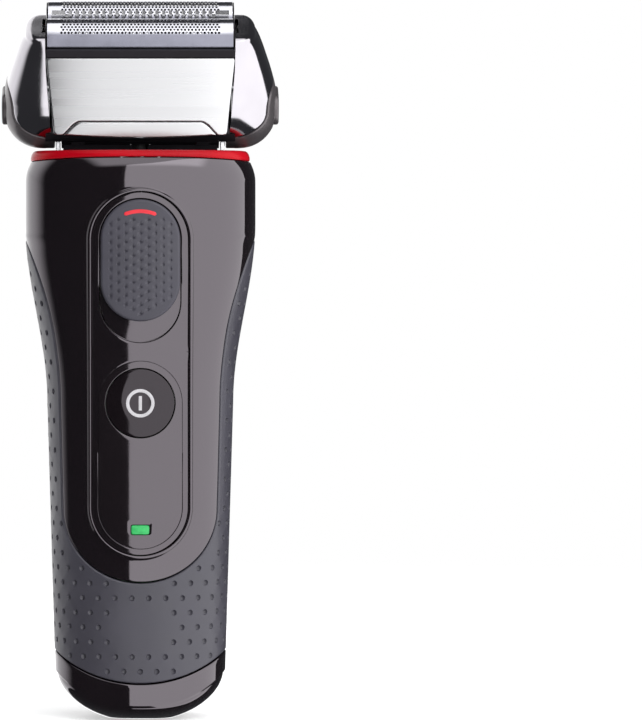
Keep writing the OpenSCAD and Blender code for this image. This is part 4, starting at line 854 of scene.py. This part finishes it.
def control_panel():
    """Long racetrack panel: a field round the display, one round the slider's recess, and its floor."""
    joint_z = (DISPLAY_W + BUTTON_Z + RECESS_LOW) / 2
    low_turn, high_turn, display_turn = PANEL_LOW + PANEL_W, PANEL_HIGH - PANEL_W, DISPLAY_LOW + DISPLAY_W
    recess_turns = RECESS_LOW + RECESS_W, RECESS_HIGH - RECESS_W
    n_round, n_side, n_line = 24, 30, 14
    display = DISPLAY_W + 0.06
    depth = RECESS_DEPTH - PANEL_INSET
    lower_outer = joined(arc(0, low_turn, PANEL_W, -90, 0, n_round),
                         line((PANEL_W, low_turn), (PANEL_W, joint_z), n_side),
                         line((PANEL_W, joint_z), (0, joint_z), n_line))
    lower_inner = joined(arc(0, display_turn, display, -90, 0, n_round),
                         line((display, display_turn), (display, BUTTON_Z), n_side),
                         arc(0, BUTTON_Z, display, 0, 90, n_line))
    upper_outer = joined(line((0, joint_z), (PANEL_W, joint_z), n_line),
                         line((PANEL_W, joint_z), (PANEL_W, high_turn), n_side),
                         arc(0, high_turn, PANEL_W, 0, 90, n_round))
    upper_inner = joined(arc(0, recess_turns[0], RECESS_W, -90, 0, n_line),
                         line((RECESS_W, recess_turns[0]), (RECESS_W, recess_turns[1]), n_side),
                         arc(0, recess_turns[1], RECESS_W, 0, 90, n_round))
    display_edge = [(-0.4, DISPLAY_T)] + rounding(0.1, DISPLAY_T)
    recess_edge = [(-0.25, depth), (-0.08, depth - 0.05), (0.0, depth - 0.2)] + rounding(0.16, 0.5)[1:]
    edge = rounding(0.14, 2.0)
    wall = mirrored(upper_inner)
    spine = mirrored(line((0, recess_turns[0]), (0, recess_turns[1]), len(upper_inner) - 1))
    floor_rings = np.array([np.column_stack([mix(wall, spine, f), np.full(len(wall), depth)])
                            for f in (0.027, 0.35, 0.7, 1.0)])
    skin("control_panel", panel_field(lower_outer, lower_inner, display_edge, edge, 4, joint_z),
         panel_field(upper_outer, upper_inner, recess_edge, edge, 4, joint_z),
         patch(placed(floor_rings, front_skin, PANEL_INSET)), weld=True)


def window_half(w, h, r, counts):
    """Right half of the charge window's outline, a rounded rectangle."""
    low, high = WINDOW_Z - h, WINDOW_Z + h
    return joined(line((0, low), (w - r, low), counts[0]), arc(w - r, low + r, r, -90, 0, counts[1]),
                  line((w, low + r), (w, high - r), counts[2]), arc(w - r, high - r, r, 0, 90, counts[3]),
                  line((w - r, high), (0, high), counts[4]))


def display_panel():
    """Slightly lighter panel with a field round the button and one round the charge light."""
    n_round, n_side, n_line = 26, 12, 14
    low_turn, hole = DISPLAY_LOW + DISPLAY_W, BUTTON_R + 0.16
    upper_outer = joined(line((0, DISPLAY_SPLIT), (DISPLAY_W, DISPLAY_SPLIT), n_line),
                         line((DISPLAY_W, DISPLAY_SPLIT), (DISPLAY_W, BUTTON_Z), n_side),
                         arc(0, BUTTON_Z, DISPLAY_W, 0, 90, n_round))
    upper_inner = joined(arc(0, BUTTON_Z, hole, -90, -38, n_line), arc(0, BUTTON_Z, hole, -38, 0, n_side),
                         arc(0, BUTTON_Z, hole, 0, 90, n_round))
    lower_outer = joined(arc(0, low_turn, DISPLAY_W, -90, 0, n_round),
                         line((DISPLAY_W, low_turn), (DISPLAY_W, DISPLAY_SPLIT), n_side),
                         line((DISPLAY_W, DISPLAY_SPLIT), (0, DISPLAY_SPLIT), n_line))
    lower_inner = window_half(WINDOW_W / 2 + 0.05, WINDOW_H / 2 + 0.05, 0.45, (13, 13, n_side, 7, 7))
    edge = rounding(0.12, DISPLAY_T)
    skin("display_panel", *[panel_field(outer, inner, rounding(0.1, wall), edge, 9, DISPLAY_SPLIT)
                            for outer, inner, wall in ((upper_outer, upper_inner, DISPLAY_T),
                                                       (lower_outer, lower_inner, 0.5))], weld=True)


def on_button(x, z, rise):
    """Points over the power button's face: the panel's skin, hollowed by a dish with a soft edge."""
    surface_y = front_skin(x, z, PANEL_INSET)[..., 1]
    centre = front_skin(0.0, BUTTON_Z, 0.0)[1] - DISH_R + DISH_DEPTH
    dish = centre + np.sqrt(DISH_R ** 2 - x ** 2 - (z - BUTTON_Z) ** 2)
    soft = 0.12
    f = clamp(0.5 + 0.5 * (dish - surface_y) / soft)
    return np.column_stack([x, mix(surface_y, dish, f) + soft * f * (1 - f) - rise, z])


def power_button():
    """Round button with a shallow dish."""
    a = full_turn(128)
    edge = 0.28
    flat = [((BUTTON_R - edge) * k / 22, 0.0) for k in range(22)]
    profile = flat + [(BUTTON_R - d, -h) for d, h in reversed(rounding(edge, 2.0))]
    rows = [on_button(r * np.sin(a), BUTTON_Z - r * np.cos(a), rise) for r, rise in profile]
    skin("power_button", patch(rows), finish="button_black", weld=True)


def power_symbol():
    """Printed ring and bar in the button's dish."""
    half, bar_reach = SYMBOL_LINE / 2, 1.6
    section = [(-1, -0.04), (-0.92, 0.03), (-0.75, 0.05), (0.75, 0.05), (0.92, 0.03), (1, -0.04)]
    a = full_turn(96)
    ring = []
    for f, rise in section:
        r = SYMBOL_R - half + f * half
        ring.append(on_button(r * np.sin(a), BUTTON_Z + r * np.cos(a), rise))
    across, rise = np.array(section).T
    bar = [on_button(across * half, np.full(len(across), z), rise)
           for z in np.linspace(BUTTON_Z - bar_reach, BUTTON_Z + bar_reach, 12)]
    skin("power_symbol", patch(ring), patch(bar, closed=False, ends=True), sharp=35)


def charge_window():
    """Battery-shaped light."""
    outer = mirrored(window_half((WINDOW_W - 0.2) / 2, (WINDOW_H - 0.2) / 2, 0.4, (6, 6, 6, 6, 6)))
    inner = outer * [0.3, 0.0] + [0, WINDOW_Z]
    rings = rings_between(inner, outer, [(0.0, -0.06)], rounding(0.12, 0.9), 5)
    rings[1:6, :, 2] = np.linspace(-0.06, 0, 5)[:, None]
    skin("charge_window", patch(placed(rings, front_skin, PANEL_INSET + 0.06)), weld=True, sharp=35)


def lock_slider():
    """Rubber slider with staggered small pits."""
    cell_x, cell_z = 1.7 / CELLS, 1.0 / 3
    mark_room = 4.6
    middle = int(LOCK_W / cell_x + 2)
    x = (np.arange(2 * middle + 1) - middle) * cell_x
    z = LOCK_LOW - 2 * cell_z + np.arange(int(LOCK_L / cell_z) + 5) * cell_z

    def outline(x, z):
        return LOCK_W - np.hypot(x, z - np.clip(z, LOCK_LOW + LOCK_W, LOCK_TOP - LOCK_W))

    centres = []
    for k in range(-5, 6):
        column = middle + k * CELLS
        for row in range(4 if k % 2 else 7, len(z) - 3, 6):
            inside = 0 <= column < len(x) and outline(x[column], z[row]) > DIMPLE_MARGIN
            if inside and z[row] < LOCK_TOP - mark_room:
                centres.append((row, column))
    points, depth = pressed_lattice(x, z, centres, (0.26, 0.38), (0.2, 0.18, 0.0))
    sheet = Sheet(points.reshape(-1, 2), grid_faces(len(z), len(x)), depth.reshape(-1))
    sheet.round_edge(outline, rounding(0.55, 0.55, 6)[1:])
    sheet.wall(LOCK_PROUD + RECESS_DEPTH - 0.2)
    sheet.skin("lock_slider", front_skin, base=-LOCK_PROUD, sharp=55)


def lock_mark():
    """Red arc printed near the slider's top."""
    radius, half_w, half_l = 9.2, 0.45, 3.6
    centre_z = LOCK_TOP - 2.7 - radius
    reach = math.asin(half_l / radius)
    a = np.linspace(-reach, reach, 26)
    end = np.sqrt(clamp(1 - ((np.abs(a) - reach + half_w / radius) / (half_w / radius)).clip(0) ** 2))
    rows = []
    for f, up in ((-1.0, 0.06), (-0.9, -0.04), (-0.6, -0.06), (0.6, -0.06), (0.9, -0.04), (1.0, 0.06)):
        r = radius + f * half_w * np.maximum(end, 0.25)
        rows.append(front_skin(r * np.sin(a), centre_z + r * np.cos(a), -LOCK_PROUD + up))
    skin("lock_mark", patch(np.array(rows).transpose(1, 0, 2), closed=False, ends=True), sharp=35)


# ---- handle: back ----
def trimmer_slide():
    """Slide of the long-hair trimmer, with thumb ridges."""
    corner = 1.2
    reach = float(run_of_x(SLIDE_W, (SLIDE_LOW + SLIDE_HIGH) / 2))
    sheet = Sheet.grid(np.linspace(-reach - 0.6, reach + 0.6, 61),
                       np.linspace(SLIDE_LOW - 0.3, SLIDE_HIGH + 0.3, 125))

    def outline(s, z):
        x, _ = section_point(z, turn_at(s), 0.0)
        dz = np.maximum(SLIDE_LOW + corner - z, z - SLIDE_HIGH + corner)
        return corner - beyond(np.abs(x) - SLIDE_W + corner, dz)

    def ridges(s, z):
        inside = (smooth((outline(s, z) - 1.6) / 0.8) * smooth((z - RIDGES_LOW) / 0.5)
                  * smooth((RIDGES_HIGH - z) / 0.5))
        return inside * (0.5 - 0.5 * np.cos((z - RIDGES_LOW + 0.2) * math.pi)) * 0.42

    sheet.round_edge(outline, [(0.0, 0.4), (0.06, 0.2), (0.2, 0.06), (0.4, 0.0)])
    sheet.lower(ridges)
    sheet.wall(2.6)
    sheet.skin("trimmer_slide", back_skin, base=-0.2)


def trimmer_channel():
    """Tray in the rear shell in which the hair trimmer slides: floor, side walls and lower end."""
    low = CHANNEL_LOW - 0.02
    wall, under = CHANNEL_W + CHANNEL_T, CHANNEL_FLOOR - CHANNEL_T
    rows = []
    for k, z in enumerate([low - CHANNEL_T, low, *np.linspace(low, TOP_Z - 0.3, 24)]):
        back = (1 - (CHANNEL_W / size_at(z, WIDTHS)) ** SECTION_POWER) ** (1 / SECTION_POWER)
        top = size_at(z, BACKS) * back - 1.0
        inner = top - 0.02 if k < 2 else CHANNEL_FLOOR
        corners = [(-wall, top), (-wall, under), (wall, under), (wall, top),
                   (CHANNEL_W, top), (CHANNEL_W, inner), (-CHANNEL_W, inner), (-CHANNEL_W, top)]
        rows.append([(x, y, z) for x, y in corners])
    piece("trimmer_channel", *patch(rows, ends=True), "handle", "gloss_black_rear", sharp=40)


# ---- neck ----
def neck_saddle(side, word):
    """Half of the hollowed seat on the neck under the swinging head, beside the shaft's boot."""
    y = np.linspace(-SADDLE_D, SADDLE_D, 25)
    top = PIVOT_Z - np.sqrt(SWING_R ** 2 - y ** 2)
    rows = []
    for x, base, drop in ((BOOT_OUT - 0.4, SEAL_TOP + 0.2, 0.0), (SEAL_ROOM, SEAL_TOP + 0.2, 0.0),
                          (SEAL_ROOM + 0.01, NECK_TOP, 0.0), (SADDLE_W - 0.3, NECK_TOP, 0.0),
                          (SADDLE_W, NECK_TOP, 0.2)):
        ys = np.concatenate([y, [SADDLE_FOOT_D, -SADDLE_FOOT_D]])
        zs = np.concatenate([top - drop, [base, base]])
        rows.append(np.column_stack([np.full(len(ys), side * x), ys, zs]))
    piece("neck_saddle_" + word, *patch(rows, ends=True), "handle", "black_plastic", sharp=40)


def shaft_boot():
    """Rubber tube round the motor's shaft."""
    a = full_turn(48)
    low, round_r = SEAL_TOP + 0.1, 0.1
    profile = [(BOOT_IN, low), (BOOT_OUT, low), (BOOT_OUT, BOOT_TOP - round_r),
               (BOOT_OUT - round_r, BOOT_TOP), (BOOT_IN, BOOT_TOP), (BOOT_IN, low)]
    rows = [np.column_stack([r * np.cos(a), r * np.sin(a), np.full(len(a), z)]) for r, z in profile]
    piece("shaft_boot", *patch(rows), "handle", "seal_rubber", weld=True, sharp=40)


def guard_toe(side, word):
    """The guard's lower end, which reaches in under the bracket's bend."""
    x, r = np.array([(TOE_IN, TOE_LOW_R), (TOE_OUT, TOE_LOW_R), (TOE_OUT, DRUM_R - 0.03),
                     (TOE_IN + 0.2, DRUM_R - 0.03), (TOE_IN, DRUM_R - 0.2)]).T
    turns = np.radians(np.linspace(-150, -30, 49))
    rows = [head_point(side * x, r * math.cos(a), r * math.sin(a)) for a in turns]
    piece("guard_toe_" + word, *patch(rows, ends=True), "swing_head", "guard_grey", sharp=40)


# ---- head: arms, guards and release buttons ----
ARM_UPPER = smooth_curve([ARM_MID_Z, ARM_ROUND_Z, 5.9, 9.1, 12.2, 13.9, ARM_CROWN_Z],
                         [ARM_W, 9.1, 8.0, 6.98, 5.92, 5.2, 4.4])
ARM_SIDE = smooth_curve([ARM_ROUND_Z, 8.0, 14.2, 15.4], [ARM_R, 10.7, 9.4, 9.1])
POCKET_EDGE = [(0.0, 0.35), (0.06, 0.17), (0.18, 0.05), (0.35, 0.0), (0.5, 0.0)]


def under_crown(z, curve, drop):
    """A size of an arm above its round lower part, drawn in over the crown."""
    crown = clamp((z - ARM_CROWN_Z) / (ARM_TOP - ARM_CROWN_Z))
    return curve(np.minimum(z, ARM_CROWN_Z)) - drop * (1 - np.sqrt(1 - crown ** 2))


def arm_width(z):
    """Width of an arm at a height above the swing axis."""
    low = ARM_W * np.sqrt(clamp(1 - ((z - ARM_MID_Z) / (ARM_R + ARM_MID_Z)) ** 2))
    return np.where(z < ARM_MID_Z, low, under_crown(z, ARM_UPPER, 1.3))


def arm_depth(z):
    """Half depth of an arm at a height above the swing axis."""
    low = np.sqrt(clamp(1 - (np.minimum(z, 0) / ARM_R) ** 2)) * ARM_R
    return np.where(z < ARM_ROUND_Z, low, under_crown(z, ARM_SIDE, 1.5))


def arm_turn(u):
    """Angle round an arm: u runs from the front (0) round the outside to the rear."""
    return np.clip(u, 0, ARM_COLUMNS) / ARM_COLUMNS * math.pi


def lip_reach(u):
    """How far a point lies out on a lip, toward the cassette, as a negative x: u is beyond the arm there."""
    return np.where(u < 0, u, np.where(u > ARM_COLUMNS, ARM_COLUMNS - u, 0))


def arm_lean(z):
    """How far the arm's inner face stands out above the lips."""
    return TOP_LEAN * smooth((z - LIP_TOP) / (ARM_TOP - LIP_TOP))


def arm_place(side):
    """Places a point of an arm's skin."""
    def place(u, z, off):
        lip, lean = lip_reach(u), arm_lean(z)
        w = np.maximum(arm_width(z) - lean - off, 0.02)
        d = np.maximum(arm_depth(z) - off, 0.02)
        x = ARM_IN + lip + (lean + w * signed_power(np.sin(arm_turn(u)), ARM_POWER)) * (lip == 0)
        y = -d * signed_power(np.cos(arm_turn(u)), ARM_POWER)
        return head_point(x * side, y, z)
    return place


def guard_outline():
    """Smoothed corners of the arm's part of the outline, seen from the front."""
    points = np.array([(ARM_IN + f * ARM_W, z) for f, z in GUARD_LINE])
    for _ in range(2):
        mids = [mix(a, b, f) for a, b in zip(points[:-1], points[1:]) for f in (0.25, 0.75)]
        points = np.vstack([points[:1], mids, points[-1:]])
    return np.vstack([points, [(points[-1, 0], 2 * ARM_TOP), (0, 2 * ARM_TOP), (0, points[0, 1])]])


GUARD_FIELD = polygon_distance(guard_outline())


def guard_line(u, z):
    """Signed distance, seen from the front, to the line between arm and guard, positive on the arm."""
    return GUARD_FIELD(ARM_IN + arm_width(z) * np.sin(arm_turn(u)) ** ARM_POWER, z)


def pocket_line(u, z):
    """Signed distance, seen from the side, to the opening for a release button, positive outside it."""
    y = arm_depth(z) * signed_power(np.cos(arm_turn(u)), ARM_POWER)
    return beyond(np.abs(y) - BUTTON_D - BUTTON_GAP + BUTTON_ROUND,
                  np.abs(z - ARM_MID_Z) - BUTTON_H - BUTTON_GAP + BUTTON_ROUND) - BUTTON_ROUND


def arm_sheet():
    """The whole outside of an arm with its lips, to be cut."""
    lip = np.array([0.4, 0.8, 1.2, 1.7])
    u = np.concatenate([-lip[::-1], np.linspace(0, ARM_COLUMNS, 2 * ARM_COLUMNS + 1), ARM_COLUMNS + lip])
    z = np.concatenate([ARM_MID_Z - (ARM_R + ARM_MID_Z) * np.cos(np.linspace(0.03, QUARTER_TURN, 26))[:-1],
                        np.linspace(ARM_MID_Z, ARM_CROWN_Z, 42)[:-1],
                        ARM_CROWN_Z + (ARM_TOP - ARM_CROWN_Z) * np.sin(np.linspace(0, QUARTER_TURN, 11)),
                        ARM_TOP + 0.001 * np.arange(1, 5)])
    cap = np.zeros(len(z))
    cap[-4:] = (0.4, 1.0, 2.0, 3.0)
    return Sheet.grid(u, z, np.repeat(cap, len(u)))


def arm_inner(side, word):
    """The arm's inner face, which closes it toward the cassette."""
    z = np.linspace(GUARD_LINE[0][1] + 0.05, ARM_TOP, 60)
    rows = []
    for x_in, shrink, end in ((0.6, 0.3, -1), (0.0, 0.02, -1), (0.0, 0.02, 1), (0.6, 0.3, 1)):
        rows.append(head_point(side * (ARM_IN + arm_lean(z) + x_in), end * (arm_depth(z) - shrink), z))
    piece(f"side_arm_{word}_inner", *patch(rows, closed=False), "swing_head", "arm_chrome")


def side_arm(side, word):
    """Dark chrome arm with the lips that hold the cassette."""
    def lips(u, z):
        slant = mix(ARM_IN - 1.5, ARM_IN + 0.1, (z - SEAT_Z) / (ARM_TOP - SEAT_Z))
        lip_edge = np.where((z > LIP_TOP) | (z < SEAT_Z), ARM_IN, slant)
        return np.where((u < 0) | (u > ARM_COLUMNS), ARM_IN + lip_reach(u) - lip_edge, 1.0)

    sheet = arm_sheet().cut(lips, 0.02, snap=0.0)
    edge = [(0.05, 0.3), (0.11, 0.13), (0.2, 0.04), (0.35, 0), (0.5, 0)]
    sheet.round_edge(guard_line, edge, line_snap=0.02)
    sheet.round_edge(pocket_line, POCKET_EDGE, line_snap=0.02)
    sheet.wall(LIP_T).skin("side_arm_" + word, arm_place(side))


def side_guard(side, word):
    """Matt dark guard under an arm."""
    def body(u, z):
        return np.where((u < 0) | (u > ARM_COLUMNS), -1.0, 1.0)

    def guard(u, z):
        return -guard_line(u, z)

    sheet = arm_sheet().cut(body, snap=0.0)
    edge = [(0.1, 0.3), (0.16, 0.13), (0.26, 0.04), (0.42, 0), (0.56, 0)]
    sheet.round_edge(guard, edge, line_snap=0.02)
    sheet.round_edge(pocket_line, POCKET_EDGE, line_snap=0.02)
    sheet.wall(GUARD_T).skin("side_guard_" + word, arm_place(side))


def release_button(side, word):
    """Side button that frees the cassette, with a shallow thumb dish."""
    a = full_turn(96)
    c, s = np.cos(a), np.sin(a)
    edge = 0.55

    def loop(inset):
        r = max(BUTTON_ROUND - inset, 0.01)
        y = np.sign(c) * (BUTTON_D - BUTTON_ROUND) * (np.abs(c) > 1e-9) + r * c
        z = np.sign(s) * (BUTTON_H - BUTTON_ROUND) * (np.abs(s) > 1e-9) + r * s
        return y, z

    out = ARM_IN + ARM_W + RELEASE_PROUD
    rows = []
    for d, h in rounding(edge, 2.4):
        y, z = loop(d)
        rows.append(head_point(side * (out - h), y, z + ARM_MID_Z))
    y, z = loop(edge)
    for f in (0.96, 0.88, 0.76, 0.6, 0.42, 0.22, 0.0):
        dish = 0.35 * smooth((1 - f) * 1.6)
        rows.append(head_point(side * (out - dish), y * f, z * f + ARM_MID_Z))
    skin("release_button_" + word, patch(rows), weld=True)


# ---- head: cassette ----
def plate_x(z):
    """Half width of a cover plate at a height above the swing axis."""
    return mix(PLATE_LOW_X, PLATE_HIGH_X, (z - SEAT_Z) / (PLATE_TOP - SEAT_Z))


def tongue(grow):
    """Corners of the window at the front plate's lower edge, for the latch cover."""
    low_x, high_x, top = 17.2 + grow, 13.9 + grow * 0.6, -2.0 + grow
    right = [(low_x, 2 * SEAT_Z), (low_x, SEAT_Z), (high_x + 1.2, top - 0.8), (high_x, top)]
    return right + [(-x, z) for x, z in reversed(right)]


def plate_place(side, sink=0.0):
    """Places a point of a cover plate, which is slightly crowned across."""
    def place(x, z, off):
        crown = 0.22 * (np.abs(x) / PLATE_HIGH_X) ** 5
        y = mix(CASSETTE_LOW_D, CASSETTE_HIGH_D, (z - SEAT_Z) / (PLATE_TOP - SEAT_Z)) - off - sink - crown
        return head_point(x, side * y, z)
    return place


def cover_plate(side, name):
    """Brushed steel plate of the cassette; the front one has a window for the latch cover."""
    sheet = Sheet.grid(np.linspace(-21.6, 21.6, 73), np.linspace(SEAT_Z - 0.3, PLATE_TOP + 0.3, 40))
    r = 0.7
    low_x, high_x = plate_x(SEAT_Z) - r, plate_x(PLATE_TOP) - r
    core = polygon_distance([(-low_x, SEAT_Z + r), (low_x, SEAT_Z + r), (high_x, PLATE_TOP - r),
                             (-high_x, PLATE_TOP - r)])
    window = polygon_distance(tongue(0.15))
    fields = [lambda x, z: core(x, z) + r]
    if side < 0:
        fields.append(lambda x, z: -window(x, z))
    for field in fields:
        sheet.round_edge(field, [(0, 0.3), (0.05, 0.14), (0.14, 0.05), (0.3, 0), (0.42, 0)], snap=0.03)
    sheet.wall(PLATE_T).skin(name, plate_place(side))


def latch_cover():
    """Steel piece in the front plate's window."""
    sheet = Sheet.grid(np.linspace(-18.4, 18.4, 64), np.linspace(SEAT_Z - 1.7, 0.5, 16))

    def below(x, z):
        return z - (SEAT_Z - LATCH_DROP + LATCH_R - np.sqrt(LATCH_R ** 2 - x ** 2))

    for field in (polygon_distance(tongue(0)), below):
        sheet.round_edge(field, [(0, 0.3), (0.08, 0.14), (0.22, 0.05), (0.45, 0), (0.57, 0)], snap=0.03)
    sheet.wall(LATCH_T).skin("latch_cover", plate_place(-1, LATCH_SINK))


def foil(middle_y, name):
    """Thin steel arch with hexagonal holes over its top."""
    arch = FOIL_R * QUARTER_TURN
    reach = arch + FOIL_Z - SKIRT_LOW
    row_h = HOLE_PITCH * math.sqrt(3) / 2
    corner = HOLE_PITCH / math.sqrt(3)
    turns = np.arange(6) * math.pi / 3 + math.pi / 6
    hexagon = corner * np.column_stack([np.cos(turns), np.sin(turns)])
    rows, columns = int(reach / row_h) + 2, int(FOIL_L / HOLE_PITCH) + 2
    points, faces = [], []
    for row in range(-rows, rows + 1):
        for column in range(-columns, columns + 1):
            middle = np.array([(column + (row % 2) / 2) * HOLE_PITCH, row * row_h])
            start = len(points)
            points += list(middle + hexagon)
            if abs(middle[0]) < FOIL_HOLES_L and abs(middle[1]) < FOIL_HOLES_ARC:
                points += list(middle + HOLE_SHARE * hexagon)
                faces += [[start + i for i in (k, (k + 1) % 6, 6 + (k + 1) % 6, 6 + k)] for k in range(6)]
            else:
                faces += [[start + i for i in half] for half in ((0, 1, 2, 3), (0, 3, 4, 5))]
    points, index = np.unique(np.round(points, 4), axis=0, return_inverse=True)
    index = index.reshape(-1)

    def place(x, w, off):
        turn = np.clip(w, -arch, arch) / FOIL_R
        straight = np.maximum(np.abs(w) - arch, 0)
        y = middle_y + (FOIL_R - off) * np.sin(turn)
        z = FOIL_Z + (FOIL_R - off) * np.cos(turn) - straight
        return head_point(x, y, z)

    sheet = Sheet(points, [[index[i] for i in face] for face in faces])
    sheet.cut(lambda x, w: FOIL_L - np.abs(x)).cut(lambda x, w: reach - np.abs(w))
    sheet.wall(FOIL_T).skin(name, place, weld=True, sharp=60)


# ---- the rest, from the CAD's own forms ----
ROUNDED = {
    "neck_plate": 0.2, "shaft_seal": 0.2, "pivot_bracket_left": 0.18, "pivot_bracket_right": 0.18,
    "socket_housing": 0.15, "socket_pins": 0.1, "station_contacts": 0.25, "case_screws": 0.15,
    "trimmer_comb": 0.1, "trimmer_blade": 0.08, "head_cradle": 0.25, "cassette_frame": 0.22,
    "front_foil_carrier": 0.1, "rear_foil_carrier": 0.1, "centre_comb": 0.12, "centre_blade": 0.06,
    "drive_bridge": 0.2, "guide_rods": 0.1, "inner_frame": 0.2, "circuit_board": 0.1, "battery": 0.3,
    "motor": 0.3, "power_switch": 0.15,
}


def dress(node, width):
    """A copy of a CAD node with rounded edges, which stands for it."""
    sharp = 35
    mesh = bpy.data.meshes.new(node + "_skin")
    bm = bmesh.new()
    bm.from_mesh(NODES[node].data)
    bmesh.ops.remove_doubles(bm, verts=bm.verts, dist=0.003 * MM)
    bmesh.ops.dissolve_limit(bm, verts=bm.verts, edges=bm.edges, angle_limit=math.radians(0.6))
    finish_mesh(bm, mesh, sharp)
    obj = add_object(node + "_skin", mesh, BODIES[node], SLOTS[node])
    bevel = obj.modifiers.new("rounding", "BEVEL")
    bevel.width = width * MM
    bevel.segments = 2
    bevel.limit_method = "ANGLE"
    bevel.angle_limit = math.radians(sharp)
    bevel.harden_normals = True
    bevel.miter_outer = "MITER_ARC"
    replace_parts(obj, node)


def carried_over():
    """Gives each CAD node that is still shown its finish, with smooth round faces."""
    for node, obj in NODES.items():
        if obj.hide_render:
            continue
        obj.data.materials.clear()
        obj.data.materials.append(MATERIALS[SLOTS[node]])
        obj.data.shade_smooth()
        split = obj.modifiers.new("edges", "EDGE_SPLIT")
        split.split_angle = math.radians(30)


# ---- floor, light and camera ----
def aim(obj, direction):
    """Turns a light or the camera to look along a direction."""
    obj.rotation_euler = Vector(direction).to_track_quat("-Z", "Y").to_euler()


def floor_and_light():
    """Pale floor, white surroundings, two tall soft panels and a soft light from above."""
    scene = bpy.context.scene
    scene.view_settings.view_transform = "Standard"
    world = bpy.data.worlds.new("pale")
    scene.world = world
    world.use_nodes = True
    tree = world.node_tree
    seen = tree.nodes["Background"]
    connect(tree, seen, {"Color": (1, 1, 1, 1)})
    lit = add_node(tree, "Background", {"Color": (0.9, 0.92, 1, 1), "Strength": WORLD_LIGHT})
    path = add_node(tree, "LightPath")
    choice = add_node(tree, "MixShader", {"Fac": path.outputs["Is Camera Ray"], 1: lit.outputs["Background"],
                                          2: seen.outputs["Background"]})
    connect(tree, tree.nodes["World Output"], {"Surface": choice.outputs["Shader"]})
    floor()
    upright_panel("key", (-0.09, -1.30), (1.0, 0.29), -1.25, KEY_LIGHT, (0, 0, 0, 0))
    upright_panel("rim", (0.09, 1.30), (-1.08, -0.20), -0.3, RIM_LIGHT, (0, 0.35, 0, 0))
    top = Vector((0.1, -0.6, 1.3))
    soft_panel("top", top, -top, (1.6, 1.6), TOP_LIGHT, (0.2, 0.2, 0.2, 0.2))


def floor():
    """Round pale floor that fades out into the white around it."""
    material, tree, shader = new_material("floor_pale")
    length = add_node(tree, "VectorMath", {0: object_coords(tree)}, operation="LENGTH").outputs["Value"]
    pale = tint(tree, object_noise(tree, 8), (0.80, 0.80, 0.80), (0.84, 0.84, 0.84))
    connect(tree, shader, {"Base Color": pale, "Roughness": 0.7, "Specular IOR Level": 0.2,
                           "Emission Color": (1, 1, 1, 1), "Emission Strength": FLOOR_GLOW,
                           "Alpha": map_range(tree, length, 0.3, 0.6, 1.0, 0.0, "SMOOTHSTEP")})
    mesh = bpy.data.meshes.new("floor")
    radii, a = (0.1, 0.3, 0.6), full_turn(96)
    points = [(r * math.cos(t), r * math.sin(t), 0) for r in radii for t in a]
    mesh.from_pydata(points, [], grid_faces(len(radii), len(a), True) + [tuple(range(len(a)))])
    mesh.materials.append(material)
    disc = bpy.data.objects.new("floor", mesh)
    disc.visible_glossy = False
    bpy.context.scene.collection.objects.link(disc)


def soft_panel(name, middle, direction, size, strength, fades):
    """A soft rectangular light that isn't seen by the camera.

    fades: shares of its width (first, last) and of its height (first, last) that dim softly.
    """
    data = bpy.data.lights.new(name, "AREA")
    data.shape = "RECTANGLE"
    data.size, data.size_y = size
    data.energy = strength * size[0] * size[1] * math.pi
    data.use_nodes = True
    tree = data.node_tree
    across = add_node(tree, "SeparateXYZ", {"Vector": add_node(tree, "NewGeometry").outputs["Parametric"]})
    level = None
    for k, (axis, share) in enumerate(zip("XXYY", fades)):
        if not share:
            continue
        start, end = ((0, share), (1, 1 - share))[k % 2]
        fade = map_range(tree, across.outputs[axis], start, end, curve="SMOOTHSTEP")
        if level:
            fade = add_node(tree, "Math", {0: level, 1: fade}, operation="MULTIPLY").outputs["Value"]
        level = fade
    if level:
        connect(tree, tree.nodes["Emission"], {"Strength": level})
    light = bpy.data.objects.new(name, data)
    light.location = middle
    aim(light, direction)
    light.visible_camera = False
    bpy.context.scene.collection.objects.link(light)


def upright_panel(name, start, end, low, strength, fades):
    """A soft panel over a floor line from start to end, square to it and turned to the shaver."""
    start, end = np.array(start), np.array(end)
    width = float(np.hypot(*(end - start)))
    x, y = (start + end) / 2
    middle = Vector((x, y, (low + PANEL_LIGHT_HIGH) / 2))
    facing = Vector((start[1] - end[1], end[0] - start[0], 0))
    if facing.dot(middle) > 0:
        facing.negate()
    soft_panel(name, middle, facing, (width, PANEL_LIGHT_HIGH - low), strength, fades)


def camera():
    """Camera level with the middle of the shaver, which stands at the left of the picture."""
    data = bpy.data.cameras.new("camera")
    data.sensor_width = 36
    data.lens = 238
    data.shift_x = 0.251
    data.dof.use_dof = False
    cam = bpy.data.objects.new("camera", data)
    away = Vector((0, -math.cos(CAMERA_ANGLE), math.sin(CAMERA_ANGLE))) * CAMERA_DISTANCE
    cam.location = Vector((0, 0, CAMERA_Z)) + away
    aim(cam, -away)
    bpy.context.scene.collection.objects.link(cam)
    bpy.context.scene.camera = cam


def build():
    """Makes every piece, in a fixed order."""
    for make in (front_shell, rear_shell, grip_sleeve, base_cap, collar_ring, control_panel, display_panel,
                 power_button, power_symbol, charge_window, lock_slider, lock_mark, trimmer_slide):
        make()
    for side, word in SIDES:
        side_arm(side, word)
        arm_inner(side, word)
    for make in (side_guard, release_button):
        for side, word in SIDES:
            make(side, word)
    for side, place in ((-1, "front"), (1, "rear")):
        cover_plate(side, place + "_plate")
    latch_cover()
    for side, place in ((-1, "front"), (1, "rear")):
        foil(side * FOIL_Y, place + "_foil")
    for side, word in SIDES:
        neck_saddle(side, word)
    shaft_boot()
    for side, word in SIDES:
        guard_toe(side, word)
    trimmer_channel()
    for node, width in ROUNDED.items():
        dress(node, width)
    carried_over()


camera()
floor_and_light()
build()
